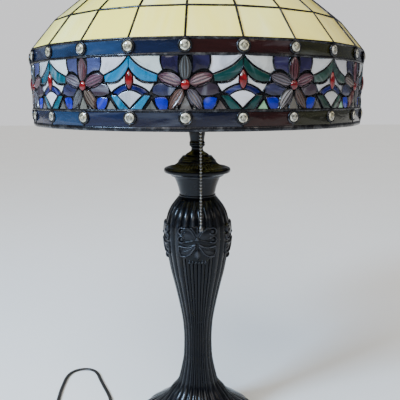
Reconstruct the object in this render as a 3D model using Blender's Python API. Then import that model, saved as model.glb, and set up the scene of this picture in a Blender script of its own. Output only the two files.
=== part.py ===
"""A stained glass table lamp, with each of its pieces as its own solid.

Metres, +Z up. The origin is on the stem's axis, on the surface that the lamp stands on. The front is -Y,
and a turn is measured from the front towards +X.
"""

import math

import bmesh
import bpy
from mathutils import Matrix, Vector

GAP = 0.0003  # between pieces that touch
FULL_TURN = 2 * math.pi

# The shade: an upright band of three glass rings under a dome of five, all with the same columns.
COLUMNS = 24
COLUMN = FULL_TURN / COLUMNS
FLOWER_TURN = math.radians(-2.68)  # to the column line that runs through the front flower
GLASS = 0.0026
BAND_R = 0.2015  # to the band's outer corners
BAND_LINES = [(BAND_R, 0.4295), (BAND_R, 0.4455), (BAND_R, 0.4955), (0.2009, 0.5100)]
DOME_LINES = [(0.1748, 0.5414), (0.1437, 0.5666), (0.1105, 0.5850), (0.0767, 0.5973), (0.0434, 0.6044)]
SHADE_LINES = BAND_LINES + DOME_LINES
BAND_RINGS = ["lower_border", "frieze", "upper_border"]
JEWEL_R = 0.0054
JEWEL_PROUD = 0.0025
JEWEL_HEIGHTS = {"lower_border": 0.4388, "upper_border": 0.5030}
SOLDER_WIDTH = 0.0030
SOLDER_PROUD = 0.0020
RIM_BOTTOM = 0.4262
CAP_R = 0.0500

# The base, turned about the stem's axis.
FOOT_R = 0.0862
FOOT_BOTTOM = 0.0018
CASTING_TOP = 0.3309
COLLAR_TOP = 0.3574
PLATE_TOP = 0.3837
SPINDLE_TOP = 0.4247
FLUTES = 24
FLUTE_DEPTH = 0.0012
CASTING_SIDES = 2 * FLUTES
TUBE_R = 0.0048
TUBE_BORE = 0.0034
BORE_R = 0.0055  # of the pieces that are threaded on the tube
TUBE_BOTTOM = 0.0105
TUBE_JOINT = 0.4380  # in the middle of the hub
TUBE_TOP = 0.6285

# The sockets, on a line through the stem, leaning up and out.
CLUSTER_TURN = math.radians(4.7)
LEAN = math.radians(30)
HUB_R = 0.0180
HUB_TOP = 0.4520
SOCKET_REACH = 0.0260
SOCKET_HEIGHT = 0.4430
SOCKET_LENGTH = 0.0560
SHELL_R = 0.0185
BULB_R = 0.0300
BULB_NECK = 0.0603
BULB_TIP = 0.1470
BULB_WALL = 0.0008
CHAIN_REACH = 0.0550
GUIDE_TOP = 0.4360
GUIDE_BOTTOM = 0.4275
LINK_BOTTOM = 0.4272
CHAIN_BOTTOM = 0.3020
CHAIN_R = 0.0016
SIDES = {"front": CLUSTER_TURN, "rear": CLUSTER_TURN + math.pi}

# The flat lead: its width counts as its diameter.
LEAD_WIDTH = 0.0054
LEAD_STEP = 0.0125  # between the points of its route
INNER_LEAD_R = 0.0025
ON_FLOOR = LEAD_WIDTH / 2 + GAP
GROMMET_LENGTH = 0.0245
EXIT = (-0.0988, 0.0, 0.0062)
GROMMET_INNER_END = EXIT[0] + 2 * GAP + GROMMET_LENGTH
CORD_ROUTE = [
    EXIT, (-0.1050, 0.0, 0.0061), (-0.1165, 0.0034, 0.0050), (-0.1252, 0.0122, 0.0036),
    (-0.1292, 0.0240, ON_FLOOR), (-0.1325, 0.0390, ON_FLOOR), (-0.1372, 0.0540, ON_FLOOR),
    (-0.1435, 0.0690, ON_FLOOR), (-0.1522, 0.0870, ON_FLOOR), (-0.1617, 0.1075, ON_FLOOR),
    (-0.1715, 0.1285, ON_FLOOR), (-0.1838, 0.1399, ON_FLOOR), (-0.2002, 0.1413, ON_FLOOR),
    (-0.2135, 0.1325, ON_FLOOR), (-0.2190, 0.1173, ON_FLOOR), (-0.2195, 0.0980, ON_FLOOR),
    (-0.2185, 0.0740, ON_FLOOR), (-0.2160, 0.0490, ON_FLOOR), (-0.2125, 0.0240, ON_FLOOR),
    (-0.2080, 0.0000, ON_FLOOR), (-0.2040, -0.0240, ON_FLOOR), (-0.2012, -0.0480, ON_FLOOR),
]
COIL_CENTRE = (-0.1600, -0.0750)
COIL_R = 0.0312  # to the middle of its turns
COIL_HALF_WIDTH = 0.0092
COIL_TOP = 0.0093
PLUG_START = (-0.1150, -0.1135, 0.0053)
TAIL_ROUTE = [(-0.1388, -0.1136, 0.0033), (-0.1320, -0.1138, ON_FLOOR), (-0.1235, -0.1136, 0.0046),
              (-0.1190, -0.1135, 0.0053), (-0.1156, -0.1135, 0.0053)]
PLUG_LENGTH = 0.0250
PLUG_HALF_WIDTH = 0.0085
PLUG_HALF_HEIGHT = 0.0049
BLADE = (0.0160, 0.0063, 0.0015)  # long, high, thick
BLADE_SPACING = 0.0127

# Finishes: colour, roughness, metallic.
BRONZE = ((0.045, 0.038, 0.036), 0.42, 0.75)
BRASS = ((0.60, 0.43, 0.20), 0.30, 1.0)
NICKEL = ((0.62, 0.61, 0.58), 0.28, 1.0)
STEEL = ((0.52, 0.53, 0.55), 0.40, 1.0)
IRON = ((0.12, 0.12, 0.12), 0.70, 0.9)
SOLDER = ((0.09, 0.085, 0.08), 0.38, 0.9)
CREAM_GLASS = ((0.86, 0.80, 0.55), 0.22, 0.0)
DARK_GLASS = ((0.07, 0.06, 0.09), 0.18, 0.0)
BLUE_GLASS = ((0.10, 0.25, 0.42), 0.18, 0.0)
BULB_WHITE = ((0.92, 0.90, 0.86), 0.35, 0.0)
BLACK_PLASTIC = ((0.03, 0.03, 0.03), 0.45, 0.0)
FELT = ((0.05, 0.09, 0.06), 0.95, 0.0)


def around(radius, turn, height):
    """The point at that radius and height, turned from the front towards +X."""
    return Vector((radius * math.sin(turn), -radius * math.cos(turn), height))


def finish_material(name, finish):
    colour, roughness, metallic = finish
    material = bpy.data.materials.new(name)
    material.use_nodes = True
    shader = material.node_tree.nodes["Principled BSDF"]
    shader.inputs["Base Color"].default_value = (*colour, 1.0)
    shader.inputs["Roughness"].default_value = roughness
    shader.inputs["Metallic"].default_value = metallic
    return material


def add_node(name, bm, finish, parent=None):
    """One piece of the lamp: its mesh, facing out and shaded smooth between its edges, and its material."""
    bmesh.ops.recalc_face_normals(bm, faces=bm.faces)
    mesh = bpy.data.meshes.new(name)
    bm.to_mesh(mesh)
    bm.free()
    mesh.shade_smooth()
    mesh.set_sharp_from_angle(angle=math.radians(32))
    node = bpy.data.objects.new(name, mesh)
    mesh.materials.append(finish_material(name, finish))
    node.parent = parent
    bpy.context.scene.collection.objects.link(node)
    return node


def add_empty(name, place, rotation=(0.0, 0.0, 0.0)):
    """A joint's or a socket's frame, which its pieces are parented to."""
    empty = bpy.data.objects.new(name, None)
    empty.location = place
    empty.rotation_euler = rotation
    bpy.context.scene.collection.objects.link(empty)
    return empty


def combine(node, operation, tool_mesh):
    """Cuts or joins a node with a tool's mesh, which is kept as a hidden wire object."""
    tool = add_node(f"{node.name}_tool", tool_mesh, BRONZE)
    tool.hide_render = True
    tool.display_type = "WIRE"
    boolean = node.modifiers.new("combine", "BOOLEAN")
    boolean.operation = operation
    boolean.solver = "EXACT"
    boolean.object = tool


def turned(outline, sides, turn=0.0, grooves=()):
    """A solid turned about Z from (radius, height) points. An outline that leaves the axis clear is a ring.

    The outline's first points can have grooves: the depth at each of them, cut between the flutes.
    """
    bm = bmesh.new()
    groove = bm.verts.layers.float.new("groove")
    corners = [bm.verts.new(around(r, turn, z)) for r, z in outline]
    for corner, depth in zip(corners, grooves):
        corner[groove] = depth
    pairs = list(zip(corners, corners[1:]))
    if all(r > 0 for r, _ in outline):
        pairs.append((corners[-1], corners[0]))
    edges = [bm.edges.new(pair) for pair in pairs]
    bmesh.ops.spin(bm, geom=corners + edges, cent=(0, 0, 0), axis=(0, 0, 1), angle=FULL_TURN, steps=sides,
                   use_merge=True)
    bmesh.ops.remove_doubles(bm, verts=bm.verts, dist=1e-6)
    for vert in bm.verts:
        if vert[groove] > 0:
            radius, angle = vert.co.xy.length, math.atan2(vert.co.x, -vert.co.y)
            vert.co.xy *= 1 - vert[groove] * (1 - math.cos(FLUTES * angle)) / 2 / radius
    return bm


def smooth(points, parts):
    """A Catmull-Rom curve through the points, with that many parts between each two of them."""
    points = [Vector(p) for p in points]
    ends = [2 * points[0] - points[1]] + points + [2 * points[-1] - points[-2]]
    curve = []
    for a, b, c, d in zip(ends, ends[1:], ends[2:], ends[3:]):
        for step in range(parts):
            t = step / parts
            curve.append(0.5 * (2 * b + (c - a) * t + (2 * a - 5 * b + 4 * c - d) * t ** 2
                                + (3 * b - a - 3 * c + d) * t ** 3))
    return curve + [points[-1]]


def box(low, high):
    bm = bmesh.new()
    bmesh.ops.create_cube(bm, size=1.0)
    low, high = Vector(low), Vector(high)
    size = high - low
    place = Matrix.Translation((low + high) / 2) @ Matrix.Diagonal((*size, 1))
    bmesh.ops.transform(bm, matrix=place, verts=bm.verts)
    return bm


def discs(count, radius, sides, reach, low, high):
    """Upright round pegs, evenly spaced round the axis at that reach."""
    bm = bmesh.new()
    for i in range(count):
        place = Matrix.Translation(around(reach, i * FULL_TURN / count, (low + high) / 2))
        bmesh.ops.create_cone(bm, cap_ends=True, segments=sides, radius1=radius, radius2=radius,
                              depth=high - low, matrix=place)
    return bm


def hex_nut(low, high, flats):
    """A hexagon nut on the tube, with a round bore."""
    bm = turned([(BORE_R, low), (flats, low), (flats, high), (BORE_R, high)], 12)
    for vert in bm.verts:
        if vert.co.xy.length > BORE_R + GAP:
            from_flat = (math.atan2(vert.co.y, vert.co.x) + FULL_TURN) % (FULL_TURN / 6) - FULL_TURN / 12
            radius = flats / 2 / math.cos(from_flat)
            vert.co.xy = vert.co.xy.normalized() * radius
    return bm


# The base ------------------------------------------------------------------------------------------

def casting_outside():
    """The casting's outer line, from its lower edge up to its flat top."""
    foot = [(FOOT_R, FOOT_BOTTOM), (FOOT_R, 0.0080)]
    stem = [(0.0740, 0.0172), (0.0500, 0.0350), (0.0384, 0.0504), (0.0264, 0.0720), (0.0200, 0.1050),
            (0.0199, 0.1430), (0.0264, 0.1852), (0.0375, 0.2340), (0.0432, 0.2640), (0.0440, 0.2860),
            (0.0398, 0.3079), (0.0289, 0.3254), (0.0243, CASTING_TOP)]
    return foot + stem


def base_casting():
    """The hollow fluted column and foot, open below, with a ledge that the weight is pulled up against."""
    inside = [(0.0822, FOOT_BOTTOM), (0.0700, 0.0135), (0.0515, 0.0260), (0.0515, 0.0300), (0.0460, 0.0300),
              (0.0335, 0.0500), (0.0222, 0.0740), (0.0160, 0.1100), (0.0160, 0.1430), (0.0228, 0.1870),
              (0.0340, 0.2360), (0.0402, 0.2860), (0.0360, 0.3060), (0.0190, 0.3270), (BORE_R, 0.3270),
              (BORE_R, CASTING_TOP)]
    outside = casting_outside()
    grooves = [FLUTE_DEPTH * min(1.0, (CASTING_TOP - z) / 0.02) for _, z in outside]
    bm = turned(outside + inside[::-1], CASTING_SIDES, 0.0, grooves)
    casting = add_node("base_casting", bm, BRONZE)
    notch = box((-FOOT_R - 0.01, -0.0048, -0.001), (-0.066, 0.0048, 0.0108))
    combine(casting, "DIFFERENCE", notch)


def base_stack():
    """What the tube holds together under and above the casting."""
    add_node("felt_pad", turned([(0.0150, 0.0), (0.0800, 0.0), (0.0800, 0.0015), (0.0150, 0.0015)], 32), FELT)
    weight = [(BORE_R, 0.0205), (0.0505, 0.0205), (0.0505, 0.0297), (BORE_R, 0.0297)]
    add_node("weight_disc", turned(weight, 32), IRON)
    washer = [(BORE_R, 0.0184), (0.0110, 0.0184), (0.0110, 0.0202), (BORE_R, 0.0202)]
    add_node("base_washer", turned(washer, 20), STEEL)
    add_node("base_nut", hex_nut(0.0120, 0.0181, 0.0143), STEEL)
    collar = [(BORE_R, 0.3544), (0.0200, 0.3544), (0.0262, 0.3510), (0.0208, 0.3345),
              (0.0208, CASTING_TOP + GAP), (0.0240, CASTING_TOP + GAP), (0.0234, 0.3345), (0.0252, 0.3425),
              (0.0274, 0.3496), (0.0313, COLLAR_TOP), (BORE_R, COLLAR_TOP)]
    add_node("neck_collar", turned(collar, 24), BRONZE)
    plate = [(BORE_R, COLLAR_TOP + GAP), (0.0345, COLLAR_TOP + GAP), (0.0403, 0.3619), (0.0435, 0.3640),
             (0.0437, 0.3665), (0.0420, 0.3686), (0.0372, 0.3700), (0.0281, 0.3727), (0.0247, 0.3754),
             (0.0226, 0.3794), (0.0212, 0.3815), (0.0193, PLATE_TOP), (BORE_R, PLATE_TOP)]
    add_node("cap_plate", turned(plate, 24), BRONZE)
    spindle = [(BORE_R, PLATE_TOP + GAP), (0.0128, PLATE_TOP + GAP), (0.0128, 0.3868), (0.0101, 0.3888),
               (0.0080, 0.3910), (0.0078, 0.3949), (0.0103, 0.3980), (0.0102, 0.4003), (0.0093, 0.4035),
               (0.0107, 0.4133), (0.0110, SPINDLE_TOP), (BORE_R, SPINDLE_TOP)]
    add_node("spindle", turned(spindle, 16), BRONZE)


def tube(name, low, high):
    add_node(name, turned([(TUBE_BORE, low), (TUBE_R, low), (TUBE_R, high), (TUBE_BORE, high)], 16), STEEL)


def grommet():
    """The tapered bushing that the lead leaves the foot through, lying along -X."""
    outline = [(0.0, 0.0), (0.0042, 0.0), (0.0042, 0.0130), (0.0035, GROMMET_LENGTH), (0.0, GROMMET_LENGTH)]
    node = add_node("cord_grommet", turned(outline, 12), BLACK_PLASTIC)
    node.location = (GROMMET_INNER_END, 0.0, EXIT[2])
    node.rotation_euler = (0.0, -math.pi / 2, 0.0)


# The sockets ---------------------------------------------------------------------------------------

def hub():
    outline = [(BORE_R, SPINDLE_TOP + GAP), (0.0125, SPINDLE_TOP + GAP), (HUB_R, 0.4290), (HUB_R, 0.4480),
               (0.0120, HUB_TOP), (BORE_R, HUB_TOP)]
    add_node("socket_hub", turned(outline, 24), BRONZE)
    add_node("hub_nut", hex_nut(HUB_TOP + GAP, HUB_TOP + 0.0063, 0.0160), BRONZE)


def bulb_outline():
    """The envelope from its tip down its outside to the open neck, and back up its inside."""
    outside = [(0.0, BULB_TIP), (0.0120, 0.1445), (0.0210, 0.1385), (0.0275, 0.1295), (BULB_R, 0.1180),
               (0.0285, 0.1060), (0.0230, 0.0910), (0.0165, 0.0760), (0.0135, BULB_NECK)]
    inside = [(r - BULB_WALL, s if s < 0.1 else s - BULB_WALL) for r, s in outside[:0:-1]]
    return outside + inside + [(0.0, BULB_TIP - BULB_WALL)]


def socket(side, turn):
    """One socket with its bulb. Its frame's Z runs from the hub out along the socket."""
    frame = add_empty(f"{side}_socket_frame", around(SOCKET_REACH, turn, SOCKET_HEIGHT),
                      (math.pi / 2 - LEAN, 0.0, turn))
    pieces = {
        "arm": ([(TUBE_BORE, -0.0058), (TUBE_R, -0.0058), (TUBE_R, 0.0030), (TUBE_BORE, 0.0030)], 12, BRONZE),
        "socket_cap": ([(0.0052, 0.0), (0.0100, 0.0), (0.0150, 0.0035), (0.0182, 0.0090), (SHELL_R, 0.0160),
                        (0.0176, 0.0160), (0.0172, 0.0095), (0.0142, 0.0048), (0.0052, 0.0034)], 16, BRASS),
        "socket_shell": ([(0.0177, 0.0163), (SHELL_R, 0.0163), (0.0175, SOCKET_LENGTH),
                          (0.0167, SOCKET_LENGTH)], 16, BRASS),
        "switch_body": ([(0.0, 0.0175), (0.0162, 0.0175), (0.0162, 0.0342), (0.0, 0.0342)], 16,
                        BLACK_PLASTIC),
        "screw_shell": ([(0.0138, 0.0345), (0.0146, 0.0345), (0.0146, 0.0545), (0.0138, 0.0545)], 16, BRASS),
    }
    for piece, (outline, sides, finish) in pieces.items():
        add_node(f"{side}_{piece}", turned(outline, sides), finish, frame)
    base = [(0.0, 0.0362), (0.0040, 0.0362), (0.0128, 0.0410), (0.0130, BULB_NECK - GAP),
            (0.0, BULB_NECK - GAP)]
    add_node(f"{side}_bulb_base", turned(base, 16), NICKEL, frame)
    add_node(f"{side}_bulb_glass", turned(bulb_outline(), 16), BULB_WHITE, frame)


def pull_chain(side, turn):
    """The guide under the socket, the link in it that works the switch, and the ball chain with its bell."""
    def in_frame(outline):
        return [(r, z - LINK_BOTTOM) for r, z in outline]

    frame = add_empty(f"{side}_chain_frame", around(CHAIN_REACH, turn, LINK_BOTTOM), (0.0, 0.0, turn))
    guide = [(0.0021, GUIDE_BOTTOM), (0.0042, GUIDE_BOTTOM), (0.0034, 0.4300), (0.0034, GUIDE_TOP),
             (0.0021, GUIDE_TOP)]
    add_node(f"{side}_chain_guide", turned(in_frame(guide), 12), BRASS, frame)
    link = [(0.0, LINK_BOTTOM), (0.0013, LINK_BOTTOM), (0.0013, 0.4335), (0.0017, 0.4341), (0.0017, 0.4355),
            (0.0, 0.4355)]
    add_node(f"{side}_pull_link", turned(in_frame(link), 8), NICKEL, frame)
    top = LINK_BOTTOM - GAP
    chain = [(0.0, CHAIN_BOTTOM), (CHAIN_R, CHAIN_BOTTOM), (CHAIN_R, top - CHAIN_R), (0.0002, top),
             (0.0, top)]
    add_node(f"{side}_pull_chain", turned(in_frame(chain), 8), NICKEL, frame)
    top = CHAIN_BOTTOM - GAP
    bell = [(0.0, 0.2957), (0.0026, 0.2962), (0.0025, 0.2985), (0.0013, 0.3010), (0.0013, top), (0.0, top)]
    add_node(f"{side}_chain_bell", turned(in_frame(bell), 10), BRASS, frame)


# The shade -----------------------------------------------------------------------------------------

def inset(lines, depth):
    """Section lines moved inwards by a depth, or outwards by a negative one, mitred where they meet."""
    normals = []
    for (r0, z0), (r1, z1) in zip(lines, lines[1:]):
        normals.append(Vector((z0 - z1, r1 - r0)).normalized())
    moved = []
    for k, point in enumerate(lines):
        before, after = normals[max(k - 1, 0)], normals[min(k, len(normals) - 1)]
        moved.append(Vector(point) + (before + after) * depth / (1 + before.dot(after)))
    return moved


def glass_ring(name, k, finish):
    """The ring of glass between two neighbouring section lines, one flat piece a column."""
    trim = GAP / (Vector(SHADE_LINES[k + 1]) - Vector(SHADE_LINES[k])).length
    outside, inside = inset(SHADE_LINES, 0.0), inset(SHADE_LINES, GLASS)
    outline = [outside[k].lerp(outside[k + 1], trim), outside[k + 1].lerp(outside[k], trim),
               inside[k + 1].lerp(inside[k], trim), inside[k].lerp(inside[k + 1], trim)]
    return add_node(name, turned(outline, COLUMNS, FLOWER_TURN), finish)


def jewels(height):
    """Round glass jewels, one on each column line, seen from outside as flat-topped bosses."""
    bm = bmesh.new()
    depth = JEWEL_PROUD + 0.0015
    for i in range(COLUMNS):
        turn = FLOWER_TURN + i * COLUMN
        outwards = Matrix.Rotation(turn, 4, "Z") @ Matrix.Rotation(math.pi / 2, 4, "X")
        off_the_corner = Matrix.Rotation(math.radians(12), 4, "Z")
        place = Matrix.Translation(around(BAND_R + JEWEL_PROUD - depth / 2, turn, height))
        bmesh.ops.create_cone(bm, cap_ends=True, segments=7, radius1=JEWEL_R, radius2=0.75 * JEWEL_R,
                              depth=depth, matrix=place @ outwards @ off_the_corner)
    return bm


def dome_solder():
    """The raised solder over the dome's seams: one net, with an opening over each piece of glass."""
    bm = bmesh.new()
    lines = SHADE_LINES[len(BAND_RINGS):]
    skins = [net_skin(bm, inset(lines, -depth)) for depth in (GAP, GAP + SOLDER_PROUD)]
    (low_nodes, low_holes), (high_nodes, high_holes) = skins
    for low, high in zip(low_holes, high_holes):
        for j in range(4):
            bm.faces.new((low[j], low[(j + 1) % 4], high[(j + 1) % 4], high[j]))
    for k in (0, len(lines) - 1):
        for i in range(COLUMNS):
            n = (i + 1) % COLUMNS
            bm.faces.new((low_nodes[k][i], low_nodes[k][n], high_nodes[k][n], high_nodes[k][i]))
    add_node("dome_solder", bm, SOLDER)


def net_skin(bm, lines):
    """One face of the net: its crossings, and the corners of its openings."""
    nodes = [[bm.verts.new(around(r, FLOWER_TURN + i * COLUMN, z)) for i in range(COLUMNS)] for r, z in lines]
    holes = []
    for low, high in zip(nodes, nodes[1:]):
        for i in range(COLUMNS):
            n = (i + 1) % COLUMNS
            corners = [low[i], low[n], high[n], high[i]]
            hole = [bm.verts.new(point) for point in opening([c.co for c in corners])]
            for j in range(4):
                bm.faces.new((corners[j], corners[(j + 1) % 4], hole[(j + 1) % 4], hole[j]))
            holes.append(hole)
    return nodes, holes


def opening(corners):
    """The corners of an opening that leaves half a strip on each side of a four-cornered piece."""
    a, b, c, d = corners
    up = SOLDER_WIDTH / 2 / ((d + c) / 2 - (a + b) / 2).length
    points = []
    for left, right in ((a.lerp(d, up), b.lerp(c, up)), (a.lerp(d, 1 - up), b.lerp(c, 1 - up))):
        across = SOLDER_WIDTH / 2 / (right - left).length
        points += [left.lerp(right, across), right.lerp(left, across)]
    return points[0], points[1], points[3], points[2]


def shade():
    finishes = [DARK_GLASS, BLUE_GLASS, DARK_GLASS]
    for k, (name, finish) in enumerate(zip(BAND_RINGS, finishes)):
        ring = glass_ring(name, k, finish)
        if name in JEWEL_HEIGHTS:
            combine(ring, "UNION", jewels(JEWEL_HEIGHTS[name]))
    for row in range(1, len(DOME_LINES) + 1):
        glass_ring(f"dome_row_{row}", len(BAND_RINGS) + row - 1, CREAM_GLASS)
    dome_solder()
    glass_inside = BAND_R - GLASS - GAP
    glass_outside = BAND_R + 1.5 * GAP
    slot_bottom, lip_top = BAND_LINES[0][1] - GAP, 0.4307
    channel = [(glass_inside - 0.0006, RIM_BOTTOM), (glass_outside + 0.0006, RIM_BOTTOM),
               (glass_outside + 0.0006, lip_top), (glass_outside, lip_top), (glass_outside, slot_bottom),
               (glass_inside, slot_bottom), (glass_inside, lip_top), (glass_inside - 0.0006, lip_top)]
    add_node("rim_channel", turned(channel, COLUMNS, FLOWER_TURN), SOLDER)


def shade_fittings():
    """The nut and spider plate that carry the shade, its crown ring, the heat cap and the finial."""
    add_node("seat_nut", hex_nut(0.5920, 0.5980, 0.0160), BRASS)
    spider = turned([(BORE_R, 0.5983), (0.0425, 0.5983), (0.0425, 0.6000), (BORE_R, 0.6000)], 24)
    holes = discs(4, 0.0110, 8, 0.0250, 0.5970, 0.6010)
    combine(add_node("shade_spider", spider, BRASS), "DIFFERENCE", holes)
    crown = [(0.0370, 0.6003), (0.0430, 0.6003), (0.0430, 0.6052), (0.0370, 0.6052)]
    add_node("crown_ring", turned(crown, COLUMNS, FLOWER_TURN), BRASS)
    cap = [(BORE_R, 0.6145), (0.0240, 0.6127), (0.0385, 0.6098), (0.0485, 0.6062), (CAP_R, 0.6062),
           (CAP_R, 0.6075), (0.0400, 0.6112), (0.0250, 0.6140), (0.0130, 0.6155), (0.0105, 0.6175),
           (BORE_R, 0.6175)]
    add_node("heat_cap", turned(cap, 24), BRONZE)
    finial = [(0.0, 0.6310), (0.0052, 0.6295), (0.0052, 0.6178), (0.0090, 0.6178), (0.0100, 0.6200),
              (0.0072, 0.6235), (0.0088, 0.6275), (0.0125, 0.6340), (0.0115, 0.6410), (0.0060, 0.6475),
              (0.0, 0.6520)]
    add_node("finial", turned(finial, 20), BRONZE)


# The lead ------------------------------------------------------------------------------------------

def spaced(route, step):
    """Points about a step apart on a smooth curve through the route's points."""
    fine = smooth(route, 24)
    long = [0.0]
    for a, b in zip(fine, fine[1:]):
        long.append(long[-1] + (b - a).length)
    parts = max(2, round(long[-1] / step))
    points = []
    for i in range(parts + 1):
        at = i / parts * long[-1]
        k = next(k for k in range(1, len(long)) if long[k] >= at - 1e-9)
        points.append(fine[k - 1].lerp(fine[k], (at - long[k - 1]) / (long[k] - long[k - 1])))
    return points


def lead(name, points, radius):
    """A round tube that follows the points."""
    curve = bpy.data.curves.new(name, "CURVE")
    curve.dimensions = "3D"
    curve.bevel_depth = radius
    curve.bevel_resolution = 2
    curve.use_fill_caps = True
    spline = curve.splines.new("POLY")
    spline.points.add(len(points) - 1)
    for spline_point, point in zip(spline.points, points):
        spline_point.co = (*point, 1.0)
    curve.materials.append(finish_material(name, BLACK_PLASTIC))
    bpy.context.scene.collection.objects.link(bpy.data.objects.new(name, curve))


def leads():
    """The lead inside the base, its free stretch up to the coil, and its tail from the coil to the plug."""
    bend = [(GROMMET_INNER_END + 2 * GAP, 0.0, EXIT[2]), (-0.0600, 0.0, EXIT[2]), (-0.0450, 0.0, 0.0055),
            (-0.0300, 0.0, 0.0052), (-0.0150, 0.0, 0.0052), (-0.0070, 0.0, 0.0056), (-0.0020, 0.0, 0.0078),
            (0.0, 0.0, 0.0125), (0.0, 0.0, 0.0200)]
    lead("inner_lead", smooth(bend, 2) + [Vector((0.0, 0.0, TUBE_JOINT - 0.003))], INNER_LEAD_R)
    lead("power_cord", spaced(CORD_ROUTE, LEAD_STEP), LEAD_WIDTH / 2)
    lead("cord_tail", spaced(TAIL_ROUTE, LEAD_STEP / 2), LEAD_WIDTH / 2)


def coil_and_plug():
    inside, outside = COIL_R - COIL_HALF_WIDTH, COIL_R + COIL_HALF_WIDTH
    outline = [(inside, GAP), (outside, GAP), (outside, COIL_TOP), (inside, COIL_TOP)]
    add_node("cord_coil", turned(outline, 24), BLACK_PLASTIC).location = (*COIL_CENTRE, 0.0)
    x, y, z = PLUG_START
    plug = box((x, y - PLUG_HALF_WIDTH, z - PLUG_HALF_HEIGHT), (x + PLUG_LENGTH, y + PLUG_HALF_WIDTH,
                                                                 z + PLUG_HALF_HEIGHT))
    bmesh.ops.bevel(plug, geom=plug.edges[:], offset=0.0025, segments=2, affect="EDGES", profile=0.6)
    add_node("plug_body", plug, BLACK_PLASTIC)
    blade_start = x + PLUG_LENGTH + GAP
    for side, sign in (("left", 1), ("right", -1)):
        middle = y + sign * BLADE_SPACING / 2
        low = (blade_start, middle - BLADE[2] / 2, z - BLADE[1] / 2)
        high = (blade_start + BLADE[0], middle + BLADE[2] / 2, z + BLADE[1] / 2)
        add_node(f"plug_blade_{side}", box(low, high), BRASS)


def build():
    for old in list(bpy.data.objects):
        bpy.data.objects.remove(old, do_unlink=True)
    base_casting()
    base_stack()
    tube("threaded_tube", TUBE_BOTTOM, TUBE_JOINT)
    tube("riser_tube", TUBE_JOINT + GAP, TUBE_TOP)
    grommet()
    hub()
    for side, turn in SIDES.items():
        socket(side, turn)
        pull_chain(side, turn)
    shade()
    shade_fittings()
    leads()
    coil_and_plug()


build()
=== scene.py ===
"""The looks of a stained glass table lamp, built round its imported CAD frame.

Metres, +Z up. The origin is on the stem's axis, on the surface that the lamp stands on. The front is -Y, and
a turn is measured from the front towards +X.
"""

import math
import random

import bmesh
import bpy
import numpy as np
from mathutils import Euler, Matrix, Vector


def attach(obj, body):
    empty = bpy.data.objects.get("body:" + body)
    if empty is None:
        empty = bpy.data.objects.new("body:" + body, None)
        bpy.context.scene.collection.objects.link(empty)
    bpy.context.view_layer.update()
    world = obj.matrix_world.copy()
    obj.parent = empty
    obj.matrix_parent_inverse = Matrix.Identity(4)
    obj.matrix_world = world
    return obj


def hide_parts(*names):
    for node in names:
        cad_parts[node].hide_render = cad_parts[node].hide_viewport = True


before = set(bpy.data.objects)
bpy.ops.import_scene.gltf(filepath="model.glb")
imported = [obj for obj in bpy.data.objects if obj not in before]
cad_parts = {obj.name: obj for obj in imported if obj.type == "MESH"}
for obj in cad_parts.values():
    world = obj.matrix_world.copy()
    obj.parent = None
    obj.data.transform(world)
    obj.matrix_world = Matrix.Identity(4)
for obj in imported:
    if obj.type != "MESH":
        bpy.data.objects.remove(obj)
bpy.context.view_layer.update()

RANDOM = random.Random(24)
FULL_TURN = 2 * math.pi
MM = 0.001
GAP = 0.0003

# The shade's columns and section lines, as the CAD has them.
COLUMNS = 24
COLUMN = FULL_TURN / COLUMNS
FLOWER_TURN = math.radians(-2.68)
GLASS = 0.0026
BAND_R = 0.2015
BAND_CORNER_R = 0.2009  # where the band's corners are eased
SPAN = 2 * BAND_R * math.sin(COLUMN / 2) / MM  # of one column of the band, in mm
STEPS = 6  # points to a column in a ring round the shade
FRIEZE_BOTTOM = 0.4455
FRIEZE_HEIGHT = 50.0  # mm
BAND_TOP = (BAND_CORNER_R, 0.5100)
BORDER_LINES = {"lower": [(BAND_R, 0.4295), (BAND_R, FRIEZE_BOTTOM)], "upper": [(BAND_R, 0.4955), BAND_TOP]}
DOME_LINES = [BAND_TOP, (0.1748, 0.5414), (0.1437, 0.5666), (0.1105, 0.5850), (0.0767, 0.5973), (0.0434, 0.6044)]
JEWEL_R = 0.0054
JEWEL_HEIGHTS = (0.4388, 0.5030)

# The base's profile, as (radius, height) points from the foot up, and the bore for the threaded tube.
BORE = 0.0055
CASTING = [(0.0862, 0.0018), (0.0866, 0.0050), (0.0855, 0.0082), (0.0815, 0.0118), (0.0740, 0.0172),
           (0.0640, 0.0243), (0.0540, 0.0322), (0.0460, 0.0402), (0.0384, 0.0504), (0.0325, 0.0575),
           (0.0284, 0.0648), (0.0262, 0.0720), (0.0230, 0.0862), (0.0205, 0.1003), (0.0196, 0.1160),
           (0.0194, 0.1322), (0.0201, 0.1455), (0.0216, 0.1600), (0.0264, 0.1852), (0.0325, 0.2122),
           (0.0363, 0.2276), (0.0398, 0.2458), (0.0426, 0.2620), (0.0438, 0.2740), (0.0440, 0.2830),
           (0.0434, 0.2939), (0.0419, 0.3000), (0.0395, 0.3085), (0.0352, 0.3170), (0.0300, 0.3240),
           (0.0268, 0.3280)]
CASTING_INSIDE = [(BORE, 0.3309), (BORE, 0.3270), (0.0190, 0.3270), (0.0360, 0.3060), (0.0402, 0.2860),
                  (0.0340, 0.2360), (0.0228, 0.1870), (0.0160, 0.1430), (0.0160, 0.1100), (0.0222, 0.0740),
                  (0.0335, 0.0500), (0.0460, 0.0300), (0.0515, 0.0300), (0.0515, 0.0260), (0.0700, 0.0135),
                  (0.0822, 0.0018)]
MEDALLIONS = 4
MEDALLION_HEIGHT = 0.2820  # of a medallion's knob

# The sockets, as the CAD has them.
CLUSTER_TURN = math.radians(4.7)
LEAN = math.radians(30)
SOCKET_REACH = 0.0260
SOCKET_HEIGHT = 0.4430
CHAIN_REACH = 0.0550
SIDES = {"front": CLUSTER_TURN, "rear": CLUSTER_TURN + math.pi}

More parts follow.
